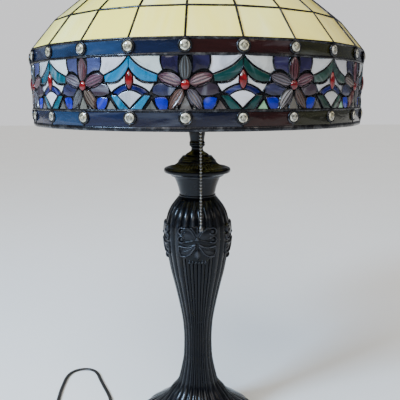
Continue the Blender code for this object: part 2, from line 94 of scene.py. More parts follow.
# The flat lead: its route on the table, as the CAD has it, and the coil of what is not seen.
LEAD_WIDTH = 0.0054
LEAD_THICKNESS = 0.0027
ON_FLOOR = LEAD_THICKNESS / 2 + GAP
EXIT = (-0.0988, 0.0, 0.0062)
CORD_ROUTE = [
    EXIT, (-0.1050, 0.0, 0.0061), (-0.1165, 0.0034, 0.0046), (-0.1252, 0.0122, 0.0026),
    (-0.1292, 0.0240, ON_FLOOR), (-0.1325, 0.0390, ON_FLOOR), (-0.1372, 0.0540, ON_FLOOR),
    (-0.1435, 0.0690, ON_FLOOR), (-0.1522, 0.0870, ON_FLOOR), (-0.1617, 0.1075, ON_FLOOR),
    (-0.1715, 0.1285, ON_FLOOR), (-0.1838, 0.1399, ON_FLOOR), (-0.2002, 0.1413, ON_FLOOR),
    (-0.2135, 0.1325, ON_FLOOR), (-0.2190, 0.1173, ON_FLOOR), (-0.2195, 0.0980, ON_FLOOR),
    (-0.2185, 0.0740, ON_FLOOR), (-0.2160, 0.0490, ON_FLOOR), (-0.2125, 0.0240, ON_FLOOR),
    (-0.2080, 0.0000, ON_FLOOR), (-0.2040, -0.0240, ON_FLOOR), (-0.2012, -0.0480, ON_FLOOR),
]
COIL_CENTRE = (-0.1600, -0.0750)
COIL_COLUMNS = (0.0369, 0.0312, 0.0255)
COIL_LAYERS = (0.0017, 0.0045, 0.0073)
COIL_TURNS = [(0, 0), (1, 0), (2, 0), (2, 1), (1, 1), (0, 1), (0, 2)]  # each turn's column and layer
TAIL_ROUTE = [(-0.1388, -0.1136, 0.0030), (-0.1320, -0.1138, 0.0026), (-0.1235, -0.1136, 0.0042),
              (-0.1190, -0.1135, 0.0052), (-0.1150, -0.1135, 0.0053)]
PLUG_START = Vector(TAIL_ROUTE[-1])
PLUG_LENGTH = 0.0250
GROMMET_LENGTH = 0.0245


def around(radius, turn, height):
    """The point at that radius and height, turned from the front towards +X."""
    return Vector((radius * math.sin(turn), -radius * math.cos(turn), height))


def ease(x):
    """0 below 0, 1 above 1, and a smooth step between."""
    x = np.clip(x, 0.0, 1.0)
    return x * x * (3 - 2 * x)


def anywhere():
    """A random shift, so that no two pieces are cut from the same place of a sheet."""
    return Vector((RANDOM.uniform(0, 9), RANDOM.uniform(0, 9), RANDOM.uniform(0, 9)))


def tilted(axis, degrees):
    """A small random turn about an axis."""
    return Matrix.Rotation(math.radians(RANDOM.uniform(-degrees, degrees)), 3, axis)


def smooth(points, parts, closed=False):
    """A Catmull-Rom curve through the points, with that many parts between each two of them."""
    points = [Vector(p) for p in points]
    if closed:
        ends = [points[-1]] + points + [points[0], points[1]]
    else:
        ends = [2 * points[0] - points[1]] + points + [2 * points[-1] - points[-2]]
    curve = []
    for a, b, c, d in zip(ends, ends[1:], ends[2:], ends[3:]):
        for step in range(parts):
            t = step / parts
            curve.append(0.5 * (2 * b + (c - a) * t + (2 * a - 5 * b + 4 * c - d) * t ** 2
                                + (3 * b - a - 3 * c + d) * t ** 3))
    return curve if closed else curve + [points[-1]]


def evenly(points, step):
    """Points about a step apart along a line of points."""
    long = [0.0]
    for a, b in zip(points, points[1:]):
        long.append(long[-1] + (b - a).length)
    parts = max(2, round(long[-1] / step))
    spread, k = [], 1
    for i in range(parts + 1):
        at = i / parts * long[-1]
        while k < len(long) - 1 and long[k] < at:
            k += 1
        spread.append(points[k - 1].lerp(points[k], min(1.0, (at - long[k - 1]) / (long[k] - long[k - 1]))))
    return spread


def add(name, data):
    """An object in the scene."""
    made = bpy.data.objects.new(name, data)
    bpy.context.scene.collection.objects.link(made)
    return made


# Materials -------------------------------------------------------------------

class Look:
    """A procedural material: the shader's own sockets, and the nodes that vary them."""

    def __init__(self, name, colour, roughness, metallic=0.0, **sockets):
        self.material = bpy.data.materials.new(name)
        self.material.use_nodes = True
        self.nodes, self.links = self.material.node_tree.nodes, self.material.node_tree.links
        self.shader = self.nodes["Principled BSDF"]
        given = {"Base Color": (*colour, 1.0), "Roughness": roughness, "Metallic": metallic}
        given.update({socket.replace("_", " "): value for socket, value in sockets.items()})
        self.give(self.shader, given)
        self.place = self.node("ShaderNodeTexCoord").outputs["Object"]

    def give(self, node, values):
        for socket, value in values.items():
            if isinstance(value, bpy.types.NodeSocket):
                self.links.new(value, node.inputs[socket])
            else:
                node.inputs[socket].default_value = value

    def node(self, kind, values=(), **settings):
        node = self.nodes.new(kind)
        for name, value in settings.items():
            setattr(node, name, value)
        self.give(node, dict(values))
        return node

    def attribute(self, name, output="Color"):
        return self.node("ShaderNodeAttribute", attribute_name=name).outputs[output]

    def noise(self, scale, detail=3.0, roughness=0.55, stretch=(1.0, 1.0, 1.0), place=None, distortion=0.0):
        mapping = self.node("ShaderNodeMapping", {"Vector": place or self.place, "Scale": stretch})
        return self.node("ShaderNodeTexNoise", {
            "Vector": mapping.outputs["Vector"], "Scale": scale, "Detail": detail, "Roughness": roughness,
            "Distortion": distortion}).outputs["Fac"]

    def ramp(self, factor, *stops):
        """A colour ramp with stops of (place, colour or grey)."""
        node = self.node("ShaderNodeValToRGB", {"Fac": factor})
        elements = node.color_ramp.elements
        while len(elements) < len(stops):
            elements.new(0.5)
        for element, (place, colour) in zip(elements, stops):
            element.position = place
            element.color = (*colour, 1.0) if isinstance(colour, tuple) else (colour, colour, colour, 1.0)
        return node.outputs["Color"]

    def mix(self, factor, a, b, blend="MIX"):
        node = self.node("ShaderNodeMix", data_type="RGBA", blend_type=blend)
        for socket, value in ((0, factor), (6, a), (7, b)):
            self.give(node, {socket: (*value, 1.0) if isinstance(value, tuple) else value})
        return node.outputs[2]

    def maths(self, operation, a, b):
        return self.node("ShaderNodeMath", {0: a, 1: b}, operation=operation).outputs["Value"]

    def bump(self, height, distance, strength=1.0):
        node = self.node("ShaderNodeBump", {"Height": height, "Distance": distance, "Strength": strength})
        self.give(self.shader, {"Normal": node.outputs["Normal"]})

    def vary(self, **sockets):
        self.give(self.shader, {socket.replace("_", " "): value for socket, value in sockets.items()})


def bronze():
    """Near-black patinated casting, lighter where it stands proud: worn metal and a painted highlight."""
    look = Look("bronze", (0.003, 0.0035, 0.005), 0.24, 0.20, Coat_Weight=0.10, Coat_Roughness=0.12,
                Specular_IOR_Level=0.17)
    cloud = look.noise(38.0, 5.0)
    colour = look.ramp(cloud, (0.30, (0.0012, 0.0016, 0.0034)), (0.58, (0.003, 0.0035, 0.005)),
                       (0.80, (0.008, 0.006, 0.005)))
    # What stands proud is lightened in patches: partly worn metal, partly a painted highlight.
    patchy_wear_and_highlight = look.ramp(look.noise(150.0, 4.0), (0.35, 0.25), (0.70, 1.0))
    proud = look.maths("MULTIPLY", look.attribute("proud", "Fac"), patchy_wear_and_highlight)
    colour = look.mix(proud, colour, (0.036, 0.038, 0.046))
    rough = look.ramp(look.noise(90.0, 4.0), (0.30, 0.18), (0.75, 0.31))
    look.vary(Base_Color=colour, Roughness=rough)
    pitted = look.maths("MULTIPLY", look.noise(260.0, 3.0), 1.6)
    look.bump(look.maths("ADD", look.noise(1300.0, 2.0), pitted), 0.00005, 0.4)
    return look.material


def solder():
    """Dark patina over lumpy solder, bright where it has been wiped."""
    look = Look("solder", (0.06, 0.06, 0.065), 0.32, 0.85)
    wiped = look.ramp(look.noise(120.0, 4.0, 0.6), (0.50, 0.0), (0.75, 1.0))
    colour = look.mix(wiped, (0.016, 0.016, 0.019), (0.10, 0.10, 0.105))
    look.vary(Base_Color=colour, Roughness=look.ramp(look.noise(260.0, 3.0), (0.3, 0.20), (0.75, 0.40)))
    look.bump(look.noise(230.0, 3.0, 0.55), 0.0006, 0.7)
    return look.material


def cream_glass():
    """Opaque cream glass, streaked from yellow to near white."""
    look = Look("cream_glass", (0.92, 0.80, 0.33), 0.20, 0.0, Coat_Weight=0.2, Coat_Roughness=0.10,
                Specular_IOR_Level=0.35)
    grain = look.attribute("grain", "Vector")
    streak = look.noise(26.0, 4.0, 0.55, (1.0, 0.16, 1.0), grain, 0.8)
    cloud = look.noise(14.0, 3.0, 0.5, (1.0, 0.5, 1.0), grain, 0.3)
    tint = look.attribute("tint")
    colour = look.mix(look.ramp(streak, (0.46, 0.0), (0.72, 0.6)), tint, (0.98, 0.95, 0.58))
    colour = look.mix(look.ramp(cloud, (0.35, 0.6), (0.62, 0.0)), colour, (0.96, 0.78, 0.14))
    look.vary(Base_Color=colour, Roughness=look.ramp(cloud, (0.3, 0.14), (0.7, 0.27)))
    look.bump(look.noise(60.0, 2.0, 0.5, (1.0, 0.35, 1.0), grain, 0.5), 0.0009, 0.35)
    return look.material


def tinted_glass(name, streaks, white, gloss, bump, stretch=(1.0, 0.22, 1.0)):
    """Streaky glass in each piece's own tint, with some white or dark drawn through it."""
    look = Look(name, (0.2, 0.2, 0.3), gloss, 0.0, Coat_Weight=0.3, Coat_Roughness=0.05,
                Specular_IOR_Level=0.28)
    grain = look.attribute("grain", "Vector")
    streak = look.noise(streaks, 4.0, 0.6, stretch, grain, 1.2)
    tint = look.attribute("tint")
    dark = look.mix(look.ramp(streak, (0.30, 1.0), (0.52, 0.0)), tint, (0.25, 0.25, 0.27), "MULTIPLY")
    colour = look.mix(look.ramp(streak, (0.56, 0.0), (0.80, white)), dark, (0.62, 0.66, 0.72))
    look.vary(Base_Color=colour, Roughness=look.ramp(streak, (0.3, gloss * 0.7), (0.7, gloss * 1.4)))
    look.bump(look.noise(110.0, 2.0, 0.5, (1.0, 0.5, 1.0), grain, 0.6), bump, 0.5)
    return look.material


def red_glass():
    """Deep red glass, darker and lighter in random clouds."""
    look = Look("red_cabochon", (0.12, 0.0006, 0.003), 0.06, 0.0, Coat_Weight=0.5, Coat_Roughness=0.03,
                Specular_IOR_Level=0.4)
    # The noise is random; it follows no thickness of the stones.
    depth = look.noise(160.0, 3.0, 0.5)
    look.vary(Base_Color=look.ramp(depth, (0.35, (0.030, 0.0002, 0.001)), (0.52, (0.13, 0.0006, 0.003)),
                                   (0.75, (0.26, 0.001, 0.004))))
    look.bump(look.noise(300.0, 2.0), 0.0002, 0.25)
    return look.material


def clear_jewel():
    """A clear moulded jewel, made opaque: its dark rim, pale facets and glints are painted light and reflection.
    """
    look = Look("clear_jewel", (0.6, 0.58, 0.50), 0.05, 0.0, Coat_Weight=1.0, Coat_Roughness=0.02,
                Specular_IOR_Level=0.9)
    tint = look.attribute("tint")
    # A noise sparkle over each jewel: painted glints.
    painted_glint = look.ramp(look.noise(420.0, 2.0, 0.5), (0.36, 0.45), (0.52, 0.85), (0.68, 1.35))
    look.vary(Base_Color=look.mix(1.0, tint, painted_glint, "MULTIPLY"))
    return look.material


def metal(name, colour, roughness, dull, metallic=1.0):
    """Plated or bare metal with tarnish clouds and fine turning marks."""
    look = Look(name, colour, roughness, metallic)
    cloud = look.ramp(look.noise(95.0, 4.0), (0.38, 0.0), (0.72, 1.0))
    look.vary(Base_Color=look.mix(cloud, colour, dull),
              Roughness=look.ramp(look.noise(240.0, 3.0), (0.3, roughness * 0.75), (0.7, roughness * 1.5)))
    look.bump(look.noise(900.0, 2.0, 0.5, (1.0, 1.0, 3.0)), 0.00005, 0.5)
    return look.material


def plastic(name, colour, roughness, bump=0.00006):
    """Moulded plastic or a lead's insulation, dusty in clouds."""
    look = Look(name, colour, roughness, 0.0, Coat_Weight=0.15, Coat_Roughness=0.30)
    light = tuple(min(1.0, 1.9 * c + 0.006) for c in colour)
    look.vary(Base_Color=look.mix(look.ramp(look.noise(75.0, 4.0), (0.40, 0.0), (0.75, 0.8)), colour, light),
              Roughness=look.ramp(look.noise(160.0, 3.0), (0.3, roughness * 0.8), (0.7, roughness * 1.25)))
    look.bump(look.noise(1500.0, 2.0), bump, 0.6)
    return look.material


def felt():
    """Dark green felt, with its fibres as a fine noise."""
    look = Look("felt", (0.010, 0.026, 0.014), 0.95, 0.0, Sheen_Weight=0.6, Sheen_Roughness=0.5)
    fibre = look.noise(1400.0, 4.0, 0.7, (1.0, 1.0, 0.3), None, 1.5)
    look.vary(Base_Color=look.ramp(fibre, (0.3, (0.006, 0.018, 0.009)), (0.7, (0.022, 0.050, 0.028))))
    look.bump(fibre, 0.0005, 0.9)
    return look.material


def bulb_glass():
    """A frosted bulb."""
    look = Look("bulb_glass", (0.88, 0.87, 0.84), 0.30, 0.0, Coat_Weight=0.6, Coat_Roughness=0.08)
    cloud = look.noise(50.0, 3.0)
    look.vary(Base_Color=look.ramp(cloud, (0.3, (0.84, 0.83, 0.79)), (0.7, (0.92, 0.91, 0.89))))
    look.bump(look.noise(2200.0, 2.0), 0.00002, 0.4)
    return look.material


LOOKS = {
    "bronze": bronze(),
    "solder": solder(),
    "cream": cream_glass(),
    "frieze": tinted_glass("frieze_glass", 60.0, 0.22, 0.16, 0.0006),
    "opal": tinted_glass("opal_glass", 22.0, 0.55, 0.20, 0.0005, (1.0, 0.6, 1.0)),
    "border": tinted_glass("border_glass", 36.0, 0.10, 0.14, 0.0008, (1.0, 0.14, 1.0)),
    "red": red_glass(),
    "jewel": clear_jewel(),
    "brass": metal("socket_brass", (0.52, 0.37, 0.17), 0.28, (0.34, 0.23, 0.10)),
    "nickel": metal("chain_nickel", (0.26, 0.25, 0.24), 0.24, (0.09, 0.085, 0.08)),
    "bulb_base": metal("bulb_base_metal", (0.60, 0.60, 0.58), 0.30, (0.36, 0.36, 0.35)),
    "steel": metal("plain_steel", (0.46, 0.47, 0.49), 0.36, (0.25, 0.24, 0.23)),
    "iron": metal("weight_iron", (0.060, 0.058, 0.056), 0.62, (0.120, 0.062, 0.035), 0.8),
    "plug_brass": metal("plug_brass", (0.62, 0.46, 0.20), 0.24, (0.42, 0.29, 0.12)),
    "plastic": plastic("black_plastic", (0.010, 0.010, 0.011), 0.42),
    "lead": plastic("lead_insulation", (0.016, 0.014, 0.013), 0.36, 0.00012),
    "felt": felt(),
    "bulb_glass": bulb_glass(),
}


# Meshes ----------------------------------------------------------------------

def piece(name, points, faces, look, body, replaces=(), edge=38.0, values=None):
    """A mesh object that rides on a body in the place of CAD nodes. values are attributes of its points."""
    mesh = bpy.data.meshes.new(name)
    mesh.from_pydata([tuple(p) for p in points], [], faces)
    mesh.validate()
    for key, each in (values or {}).items():
        size = len(each[0]) if hasattr(each[0], "__len__") else 1
        kind = {1: "FLOAT", 3: "FLOAT_VECTOR", 4: "FLOAT_COLOR"}[size]
        attribute = mesh.attributes.new(key, kind, "POINT")
        field = {1: "value", 3: "vector", 4: "color"}[size]
        attribute.data.foreach_set(field, np.array(each, np.float32).ravel())
    bm = bmesh.new()
    bm.from_mesh(mesh)
    bmesh.ops.recalc_face_normals(bm, faces=bm.faces)
    bm.to_mesh(mesh)
    bm.free()
    mesh.shade_smooth()
    mesh.set_sharp_from_angle(angle=math.radians(edge))
    mesh.materials.append(LOOKS[look])
    made = add(name, mesh)
    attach(made, body)
    if replaces:
        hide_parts(*replaces)
    return made


class Batch:
    """Many small closed shapes gathered into one object, each with its own tint and grain."""

    def __init__(self):
        self.points, self.faces, self.tints, self.grains = [], [], [], []

    def add(self, points, faces, tint=(0.5, 0.5, 0.5), grains=None, tints=None):
        start = len(self.points)
        self.points += [Vector(p) for p in points]
        self.faces += [tuple(start + i for i in face) for face in faces]
        self.tints += [(*t, 1.0) for t in tints] if tints else [(*tint, 1.0)] * len(points)
        self.grains += [tuple(g) for g in grains] if grains else [tuple(p) for p in points]

    def make(self, name, look, body, slot, replaces=(), edge=38.0):
        values = {"tint": self.tints, "grain": self.grains}
        return piece(name, self.points, self.faces, look, body, replaces, edge, values)


def rings_to_faces(rings, sides, closed_loop=False):
    """Faces between rings of points that follow each other. If they close no loop, both ends are capped."""
    faces = []
    last = rings if closed_loop else rings - 1
    for k in range(last):
        a, b = k * sides, (k + 1) % rings * sides
        for i in range(sides):
            n = (i + 1) % sides
            faces.append((a + i, a + n, b + n, b + i))
    if not closed_loop:
        faces.append(tuple(range(sides))[::-1])
        faces.append(tuple((rings - 1) * sides + i for i in range(sides)))
    return faces


def front_and_back(wide, high, start=0):
    """Faces of a solid whose front and back are grids of points, high rows of wide each, front first."""
    faces, back = [], wide * high
    for k in range(high - 1):
        for j in range(wide - 1):
            a = start + k * wide + j
            b = a + back
            faces += [(a, a + 1, a + wide + 1, a + wide), (b + wide, b + wide + 1, b + 1, b)]
    border = ([*range(wide)] + [k * wide + wide - 1 for k in range(1, high)]
              + [(high - 1) * wide + j for j in range(wide - 2, -1, -1)]
              + [k * wide for k in range(high - 2, 0, -1)])
    for a, b in zip(border, border[1:] + border[:1]):
        faces.append((start + b, start + a, start + a + back, start + b + back))
    return faces


def lathe(outline, sides, ripple=None, closed=True):
    """Points and faces of a solid turned about Z. ripple(angle, k) is added to the radius at point k.

    A closed outline is a ring's section. An open one starts and ends near the axis, and is capped there.
    """
    points = []
    for k, (radius, height) in enumerate(outline):
        for i in range(sides):
            angle = i * FULL_TURN / sides
            points.append(around(radius + (ripple(angle, k) if ripple else 0.0), angle, height))
    return points, rings_to_faces(len(outline), sides, closed)


def turned(name, outline, sides, look, body, slot, node, place=None, proud=None, edge=38.0, **how):
    """A turned piece in the place of one CAD node. proud, one number or a list, sets its wear and painted
    highlight.
    """
    points, faces = lathe(outline, sides, **how)
    if place:
        points = [place @ p for p in points]
    if proud is None:
        return piece(name, points, faces, look, body, (node,), edge)
    values = proud if isinstance(proud, list) else [proud] * len(points)
    return piece(name, points, faces, look, body, (node,), edge, {"proud": values})


def tube(path, section, closed=False, ups=None):
    """A section of (across, up) points swept along a path. ups gives the outward direction at each point."""
    points = []
    count = len(path)
    for k, at in enumerate(path):
        before = path[k - 1] if k or closed else at
        after = path[(k + 1) % count] if k < count - 1 or closed else at
        along = (after - before).normalized()
        up = ups[k] if ups else Vector((0, 0, 1))
        across = along.cross(up).normalized()
        up = across.cross(along).normalized()
        points += [at + across * x + up * y for x, y in section]
    return points, rings_to_faces(count, len(section), closed)


def oval(half_width, half_height, sides, lift=0.0):
    """An oval section."""
    angles = [i * FULL_TURN / sides for i in range(sides)]
    return [(half_width * math.cos(angle), lift + half_height * math.sin(angle)) for angle in angles]


# The band --------------------------------------------------------------------

def on_band(u, v, depth=0.0):
    """A point on the band's outside: u mm round from the front flower, v mm above the frieze's foot."""
    column = math.floor(u / SPAN)
    across = (u / SPAN - column - 0.5) * SPAN * MM
    flat = BAND_R * math.cos(COLUMN / 2)
    turn = FLOWER_TURN + (column + 0.5) * COLUMN + math.atan2(across, flat)
    radius = min(math.hypot(across, flat), BAND_CORNER_R)
    return around(radius + depth * MM, turn, FRIEZE_BOTTOM + v * MM)


def outwards(u):
    """The level direction out of the band there."""
    point = on_band(u, 0.0)
    return Vector((point.x, point.y, 0.0)).normalized()


def outline_of(controls, start=0.0, side=1):
    """A closed line of (u, v) controls on a side of u = start. Those with a third value are its corners."""
    corners = [i for i, c in enumerate(controls) if len(c) > 2]
    flat = [Vector((c[0], c[1])) for c in controls]
    line = []
    for a, b in zip(corners, corners[1:] + [corners[0] + len(controls)]):
        run = [flat[i % len(flat)] for i in range(a, b + 1)]
        line += smooth(run, 4 if len(run) > 2 else 3)[:-1]
    return [Vector((start + side * p.x, p.y)) for p in line]


def inset(outline, depth):
    """A closed line moved in by a depth."""
    area = sum(a.x * b.y - b.x * a.y for a, b in zip(outline, outline[1:] + outline[:1]))
    side = 1 if area > 0 else -1
    moved = []
    for before, at, after in zip(outline[-1:] + outline[:-1], outline, outline[1:] + outline[:1]):
        one, two = (at - before).normalized(), (after - at).normalized()
        normal = Vector((-one.y - two.y, one.x + two.x)) * side
        if normal.length < 1e-6:
            normal = Vector((-one.y, one.x)) * side
        normal.normalize()
        slant = max(0.5, normal.dot(Vector((-one.y, one.x)) * side))
        moved.append(at + normal * depth / slant)
    return moved


BACK = -GLASS / MM  # the depth of the glass's back, in mm


def flat_piece(batch, outline, tint):
    """One cut piece of glass: flat, ground round at its edges, and not quite in line with its neighbours."""
    middle = sum(outline, Vector((0, 0))) / len(outline)
    origin = on_band(middle.x, middle.y)
    along = (on_band(middle.x + 1, middle.y) - on_band(middle.x - 1, middle.y)).normalized()
    out = along.cross(Vector((0, 0, 1)))
    lean, swing = tilted(along, 1.4), tilted("Z", 1.4)
    turn = RANDOM.uniform(0, math.pi)
    shift = anywhere()
    points, grains = [], []
    rings = ((0.1, BACK), (0.1, -0.05), (0.6, 0.1775), (1.1, 0.3))  # each one's distance in, and its depth
    for trim, depth in rings:
        for at in inset(outline, trim):
            flat = at - middle
            local = along * flat.x * MM + Vector((0, 0, flat.y * MM)) + out * depth * MM
            points.append(origin + lean @ swing @ local)
            spun = Vector((flat.x * math.cos(turn) + flat.y * math.sin(turn),
                           flat.y * math.cos(turn) - flat.x * math.sin(turn), 0.0)) * MM
            grains.append(shift + spun)
    batch.add(points, rings_to_faces(len(rings), len(outline)), tint, grains)


BEAD = oval(0.66, 2.00, 8, -1.15)
FINE_BEAD = oval(0.62, 2.00, 8, -1.15)


def bead(batch, outline, section=BEAD, closed=True):
    """A line of solder over the seam round a piece, rounded up on both sides of the glass."""
    wobble = [1 + RANDOM.uniform(-0.10, 0.14) for _ in outline]
    path = [on_band(p.x, p.y) for p in outline]
    ups = [outwards(p.x) for p in outline]
    points, faces = tube(path, [(x * MM, y * MM) for x, y in section], closed, ups)
    for k, scale in enumerate(wobble):
        for j in range(len(section)):
            i = k * len(section) + j
            points[i] = path[k] + (points[i] - path[k]) * scale
    batch.add(points, faces)


def petal_width(s):
    """Half of a petal's width at a share of its length, for a width of 1."""
    return 0.5 * math.sin(math.pi * s ** 0.90) ** 0.56


def petal(batch, beads, root, tip, width, tints):
    """A moulded petal with ribs along it. Its two tints paint shade in its grooves and a highlight on its ribs.
    """
    root, tip = Vector(root), Vector(tip)
    length, across_steps = 12, 16
    axis = tip - root
    side = Vector((-axis.y, axis.x)).normalized()
    shift = Vector((RANDOM.uniform(0, 9), RANDOM.uniform(0, 9), 0.0))
    points, grains, shades = [], [], []
    groove_shade_tint, rib_highlight_tint = Vector(tints[0]), Vector(tints[1])
    for rise, base in ((1.0, 0.0), (0.0, BACK)):
        for k in range(length + 1):
            s = 0.02 + 0.96 * k / length
            half = petal_width(s) * (width - 0.6)
            for j in range(across_steps + 1):
                t = 2 * j / across_steps - 1
                at = root + axis * s + side * t * half
                dome = (1 - t * t) * 1.0 * min(1.0, half / 2.5)
                rib = 0.45 * math.cos(4 * math.pi * t) * (1 - abs(t)) ** 0.3 * min(1.0, half / 2.5)
                points.append(on_band(at.x, at.y, base + rise * (dome + rib)))
                grains.append(shift + Vector((t * half, s * axis.length, 0.0)) * MM)
                # Dark in the grooves, light on the ribs: painted shade and painted highlight.
                shades.append(tuple(groove_shade_tint.lerp(rib_highlight_tint, (0.5 + 0.5 * math.cos(4 * math.pi * t)) ** 1.5)))
    faces = front_and_back(across_steps + 1, length + 1)
    batch.add(points, faces, grains=grains, tints=shades)
    line = [root + axis * (k / 14) + side * petal_width(k / 14) * width for k in range(15)]
    line += [root + axis * (k / 14) - side * petal_width(k / 14) * width for k in range(13, 0, -1)]
    bead(beads, line, FINE_BEAD)


def cabochon(batch, beads, centre, half_width, half_height, proud, pointed=0.0):
    """A polished domed stone. A pointed one narrows to a tip at both ends."""
    sides, rings = 28, 7
    points, outline = [], []
    for ring in range(rings):
        lift = ring / (rings - 1) * math.pi / 2
        for i in range(sides):
            angle = i * FULL_TURN / sides
            narrow = 1 - pointed * abs(math.sin(angle)) ** 3
            x, y = half_width * math.cos(angle) * narrow, half_height * math.sin(angle)
            shrink = max(math.cos(lift), 0.03)
            at = Vector((centre[0] + x * shrink, centre[1] + y * shrink))
            points.append(on_band(at.x, at.y, 0.1 + proud * math.sin(lift)))
            if ring == 0:
                outline.append(Vector((centre[0] + x * 1.08, centre[1] + y * 1.05)))
    back = [on_band(centre[0] + (p.x - centre[0]) * 0.9, centre[1] + (p.y - centre[1]) * 0.9, BACK)
            for p in outline]
    batch.add(back + points, rings_to_faces(rings + 1, sides))
    bead(beads, outline, FINE_BEAD)


# The frieze's pieces in mm from the flower's line. Those in HALF are on both sides of the flower.
HALF = {
    "back_petal": [(4.8, 31.0, 1), (6.2, 37.5), (6.4, 44.0), (5.6, 49.4, 1), (22.2, 49.4, 1), (22.4, 42.8),
                   (20.2, 36.9, 1), (13.6, 36.6), (8.0, 33.6)],
    "leaf": [(8.4, 20.4, 1), (15.5, 24.0), (23.0, 25.2), (29.6, 22.2), (31.0, 15.8, 1), (23.0, 13.2),
             (13.0, 13.4, 1)],
    "cobalt": [(17.4, 0.7, 1), (15.4, 6.0), (17.6, 11.6), (23.4, 12.6), (29.2, 11.6, 1), (27.6, 5.6),
               (24.4, 0.7, 1)],
    "triangle": [(26.2, 0.7, 1), (38.6, 0.7, 1), (31.4, 10.0, 1)],
    "lower_wing": [(51.8, 1.2, 1), (45.2, 8.0), (38.6, 14.4, 1), (31.8, 14.0, 1), (36.4, 7.6),
                   (41.2, 0.7, 1)],
    "arch": [(34.0, 15.8, 1), (38.0, 19.2), (44.0, 22.2), (49.8, 23.6, 1), (51.0, 18.9, 1), (45.6, 17.2),
             (40.2, 13.8), (38.6, 14.6, 1)],
    "crescent": [(28.2, 25.0, 1), (34.0, 24.8), (41.6, 26.6), (48.6, 32.0, 1), (48.4, 24.4, 1),
                 (43.6, 22.9), (37.6, 20.0), (33.2, 16.6, 1), (30.6, 20.6)],
    "wing": [(52.4, 49.4, 1), (49.0, 45.2), (43.4, 40.4), (36.0, 36.4), (25.2, 32.2, 1), (26.2, 26.0, 1),
             (33.8, 25.8), (41.4, 27.6), (48.4, 33.0), (52.4, 39.4, 1)],
    "top": [(22.9, 49.4, 1), (51.6, 49.4, 1), (48.3, 45.7), (42.8, 41.0), (35.6, 37.0), (25.0, 32.8, 1),
            (20.9, 36.2, 1), (23.0, 43.0)],
    "bit": [(6.6, 0.7, 1), (11.0, 0.7, 1), (7.2, 8.2, 1)],
}
PETAL_PLACES = [((0, 27.0), (0, 49.4), 12.4), ((3.6, 24.4), (25.0, 31.6), 12.6),
                ((-3.6, 24.4), (-25.0, 31.6), 12.6), ((2.4, 19.4), (15.0, 1.2), 12.0),
                ((-2.4, 19.4), (-15.0, 1.2), 12.0)]  # each one's root, tip and width
FLOWER_FOOT = [(-6.0, 0.7, 1), (6.0, 0.7, 1), (3.2, 8.0), (0.0, 14.4, 1), (-3.2, 8.0)]
FAN = [(52.6, 2.2, 1), (46.2, 8.6), (40.8, 13.8, 1), (46.0, 16.9), (52.6, 18.4), (59.2, 16.9),
       (64.4, 13.8, 1), (59.0, 8.6)]

WHITE = (0.46, 0.47, 0.48)
CERULEAN = (0.003, 0.115, 0.215)
TEAL = (0.002, 0.080, 0.110)
GREEN = (0.0006, 0.034, 0.032)
SAGE = (0.018, 0.048, 0.036)
COBALT = (0.002, 0.009, 0.28)
INK = (0.003, 0.006, 0.075)
# PURPLE and VIOLET are a shaded and a lit copy of one purple.
PURPLE = (0.014, 0.012, 0.042)
VIOLET = (0.045, 0.050, 0.130)
SLATE = (0.022, 0.024, 0.055)
BROWN = (0.030, 0.020, 0.028)
PALE_GREEN = (0.20, 0.40, 0.24)
STONE = (0.10, 0.09, 0.08)
# Each petal's pair is a dark copy of its colour for painted shade in the grooves, and a light copy for a painted
# highlight on the ribs.
PETALS = [((0.024, 0.024, 0.026), (0.092, 0.086, 0.090)), ((0.034, 0.012, 0.016), (0.105, 0.030, 0.036)),
          ((0.042, 0.020, 0.032), (0.135, 0.060, 0.078)), ((0.030, 0.024, 0.036), (0.110, 0.090, 0.105)),
          ((0.036, 0.020, 0.014), (0.120, 0.064, 0.048))]
# STEEL_BLUE is a lighter navy: partly streaks of the glass, partly a painted highlight.
NAVY, STEEL_BLUE = (0.004, 0.008, 0.026), (0.008, 0.026, 0.064)
MAROON, OLIVE, NIGHT = (0.018, 0.003, 0.003), (0.014, 0.014, 0.004), (0.002, 0.003, 0.012)
CREAMS = [(0.97, 0.86, 0.17), (0.98, 0.89, 0.26), (0.98, 0.94, 0.48), (0.97, 0.85, 0.15)]

# The tints that the front shows, by column from the front flower's. The rest are drawn at random.
# On the front's left the wings and borders get bluer tints and the lighter steel blue: partly the glass's own
# colours, partly painted reflected light.
FRONT_WINGS = {1: (GREEN, GREEN), 23: (CERULEAN, CERULEAN), 3: (SAGE, SAGE), 21: (TEAL, TEAL)}
OTHER_BORDERS = (NAVY, NIGHT, MAROON, OLIVE, STEEL_BLUE)
OTHER_WINGS = [(GREEN, TEAL), (TEAL, CERULEAN), (CERULEAN, TEAL), (GREEN, SAGE)]
FRONT_BORDERS = {
    "lower": {20: NAVY, 21: STEEL_BLUE, 22: NAVY, 23: NIGHT, 0: NIGHT, 1: MAROON, 2: OLIVE, 3: OLIVE,
              4: NIGHT},
    "upper": {20: NAVY, 21: STEEL_BLUE, 22: STEEL_BLUE, 23: NAVY, 0: MAROON, 1: MAROON, 2: OLIVE, 3: OLIVE,
              4: NIGHT},
}


def shift_tint(tint, spread=0.18):
    """A tint made a little lighter or darker, and a little warmer or cooler."""
    light = 1 + RANDOM.uniform(-spread, spread)
    return tuple(max(0.0, c * light * (1 + RANDOM.uniform(-spread, spread) / 3)) for c in tint)


def half_tints(flower, side):
    """The tints of the pieces on one side of a flower."""
    tulip = (2 * flower + side) % COLUMNS
    upper, lower = FRONT_WINGS.get(tulip) or RANDOM.choice(OTHER_WINGS)
    # The back petals are PURPLE, painted shade, on the front and right half, and VIOLET, painted light, on the
    # back and left.
    return {"back_petal": PURPLE if flower < 6 else VIOLET, "leaf": SLATE if side < 0 else BROWN,
            "cobalt": COBALT, "triangle": PALE_GREEN if RANDOM.random() < 0.5 else STONE,
            "lower_wing": lower, "arch": INK, "crescent": WHITE, "wing": upper, "top": WHITE, "bit": STONE}


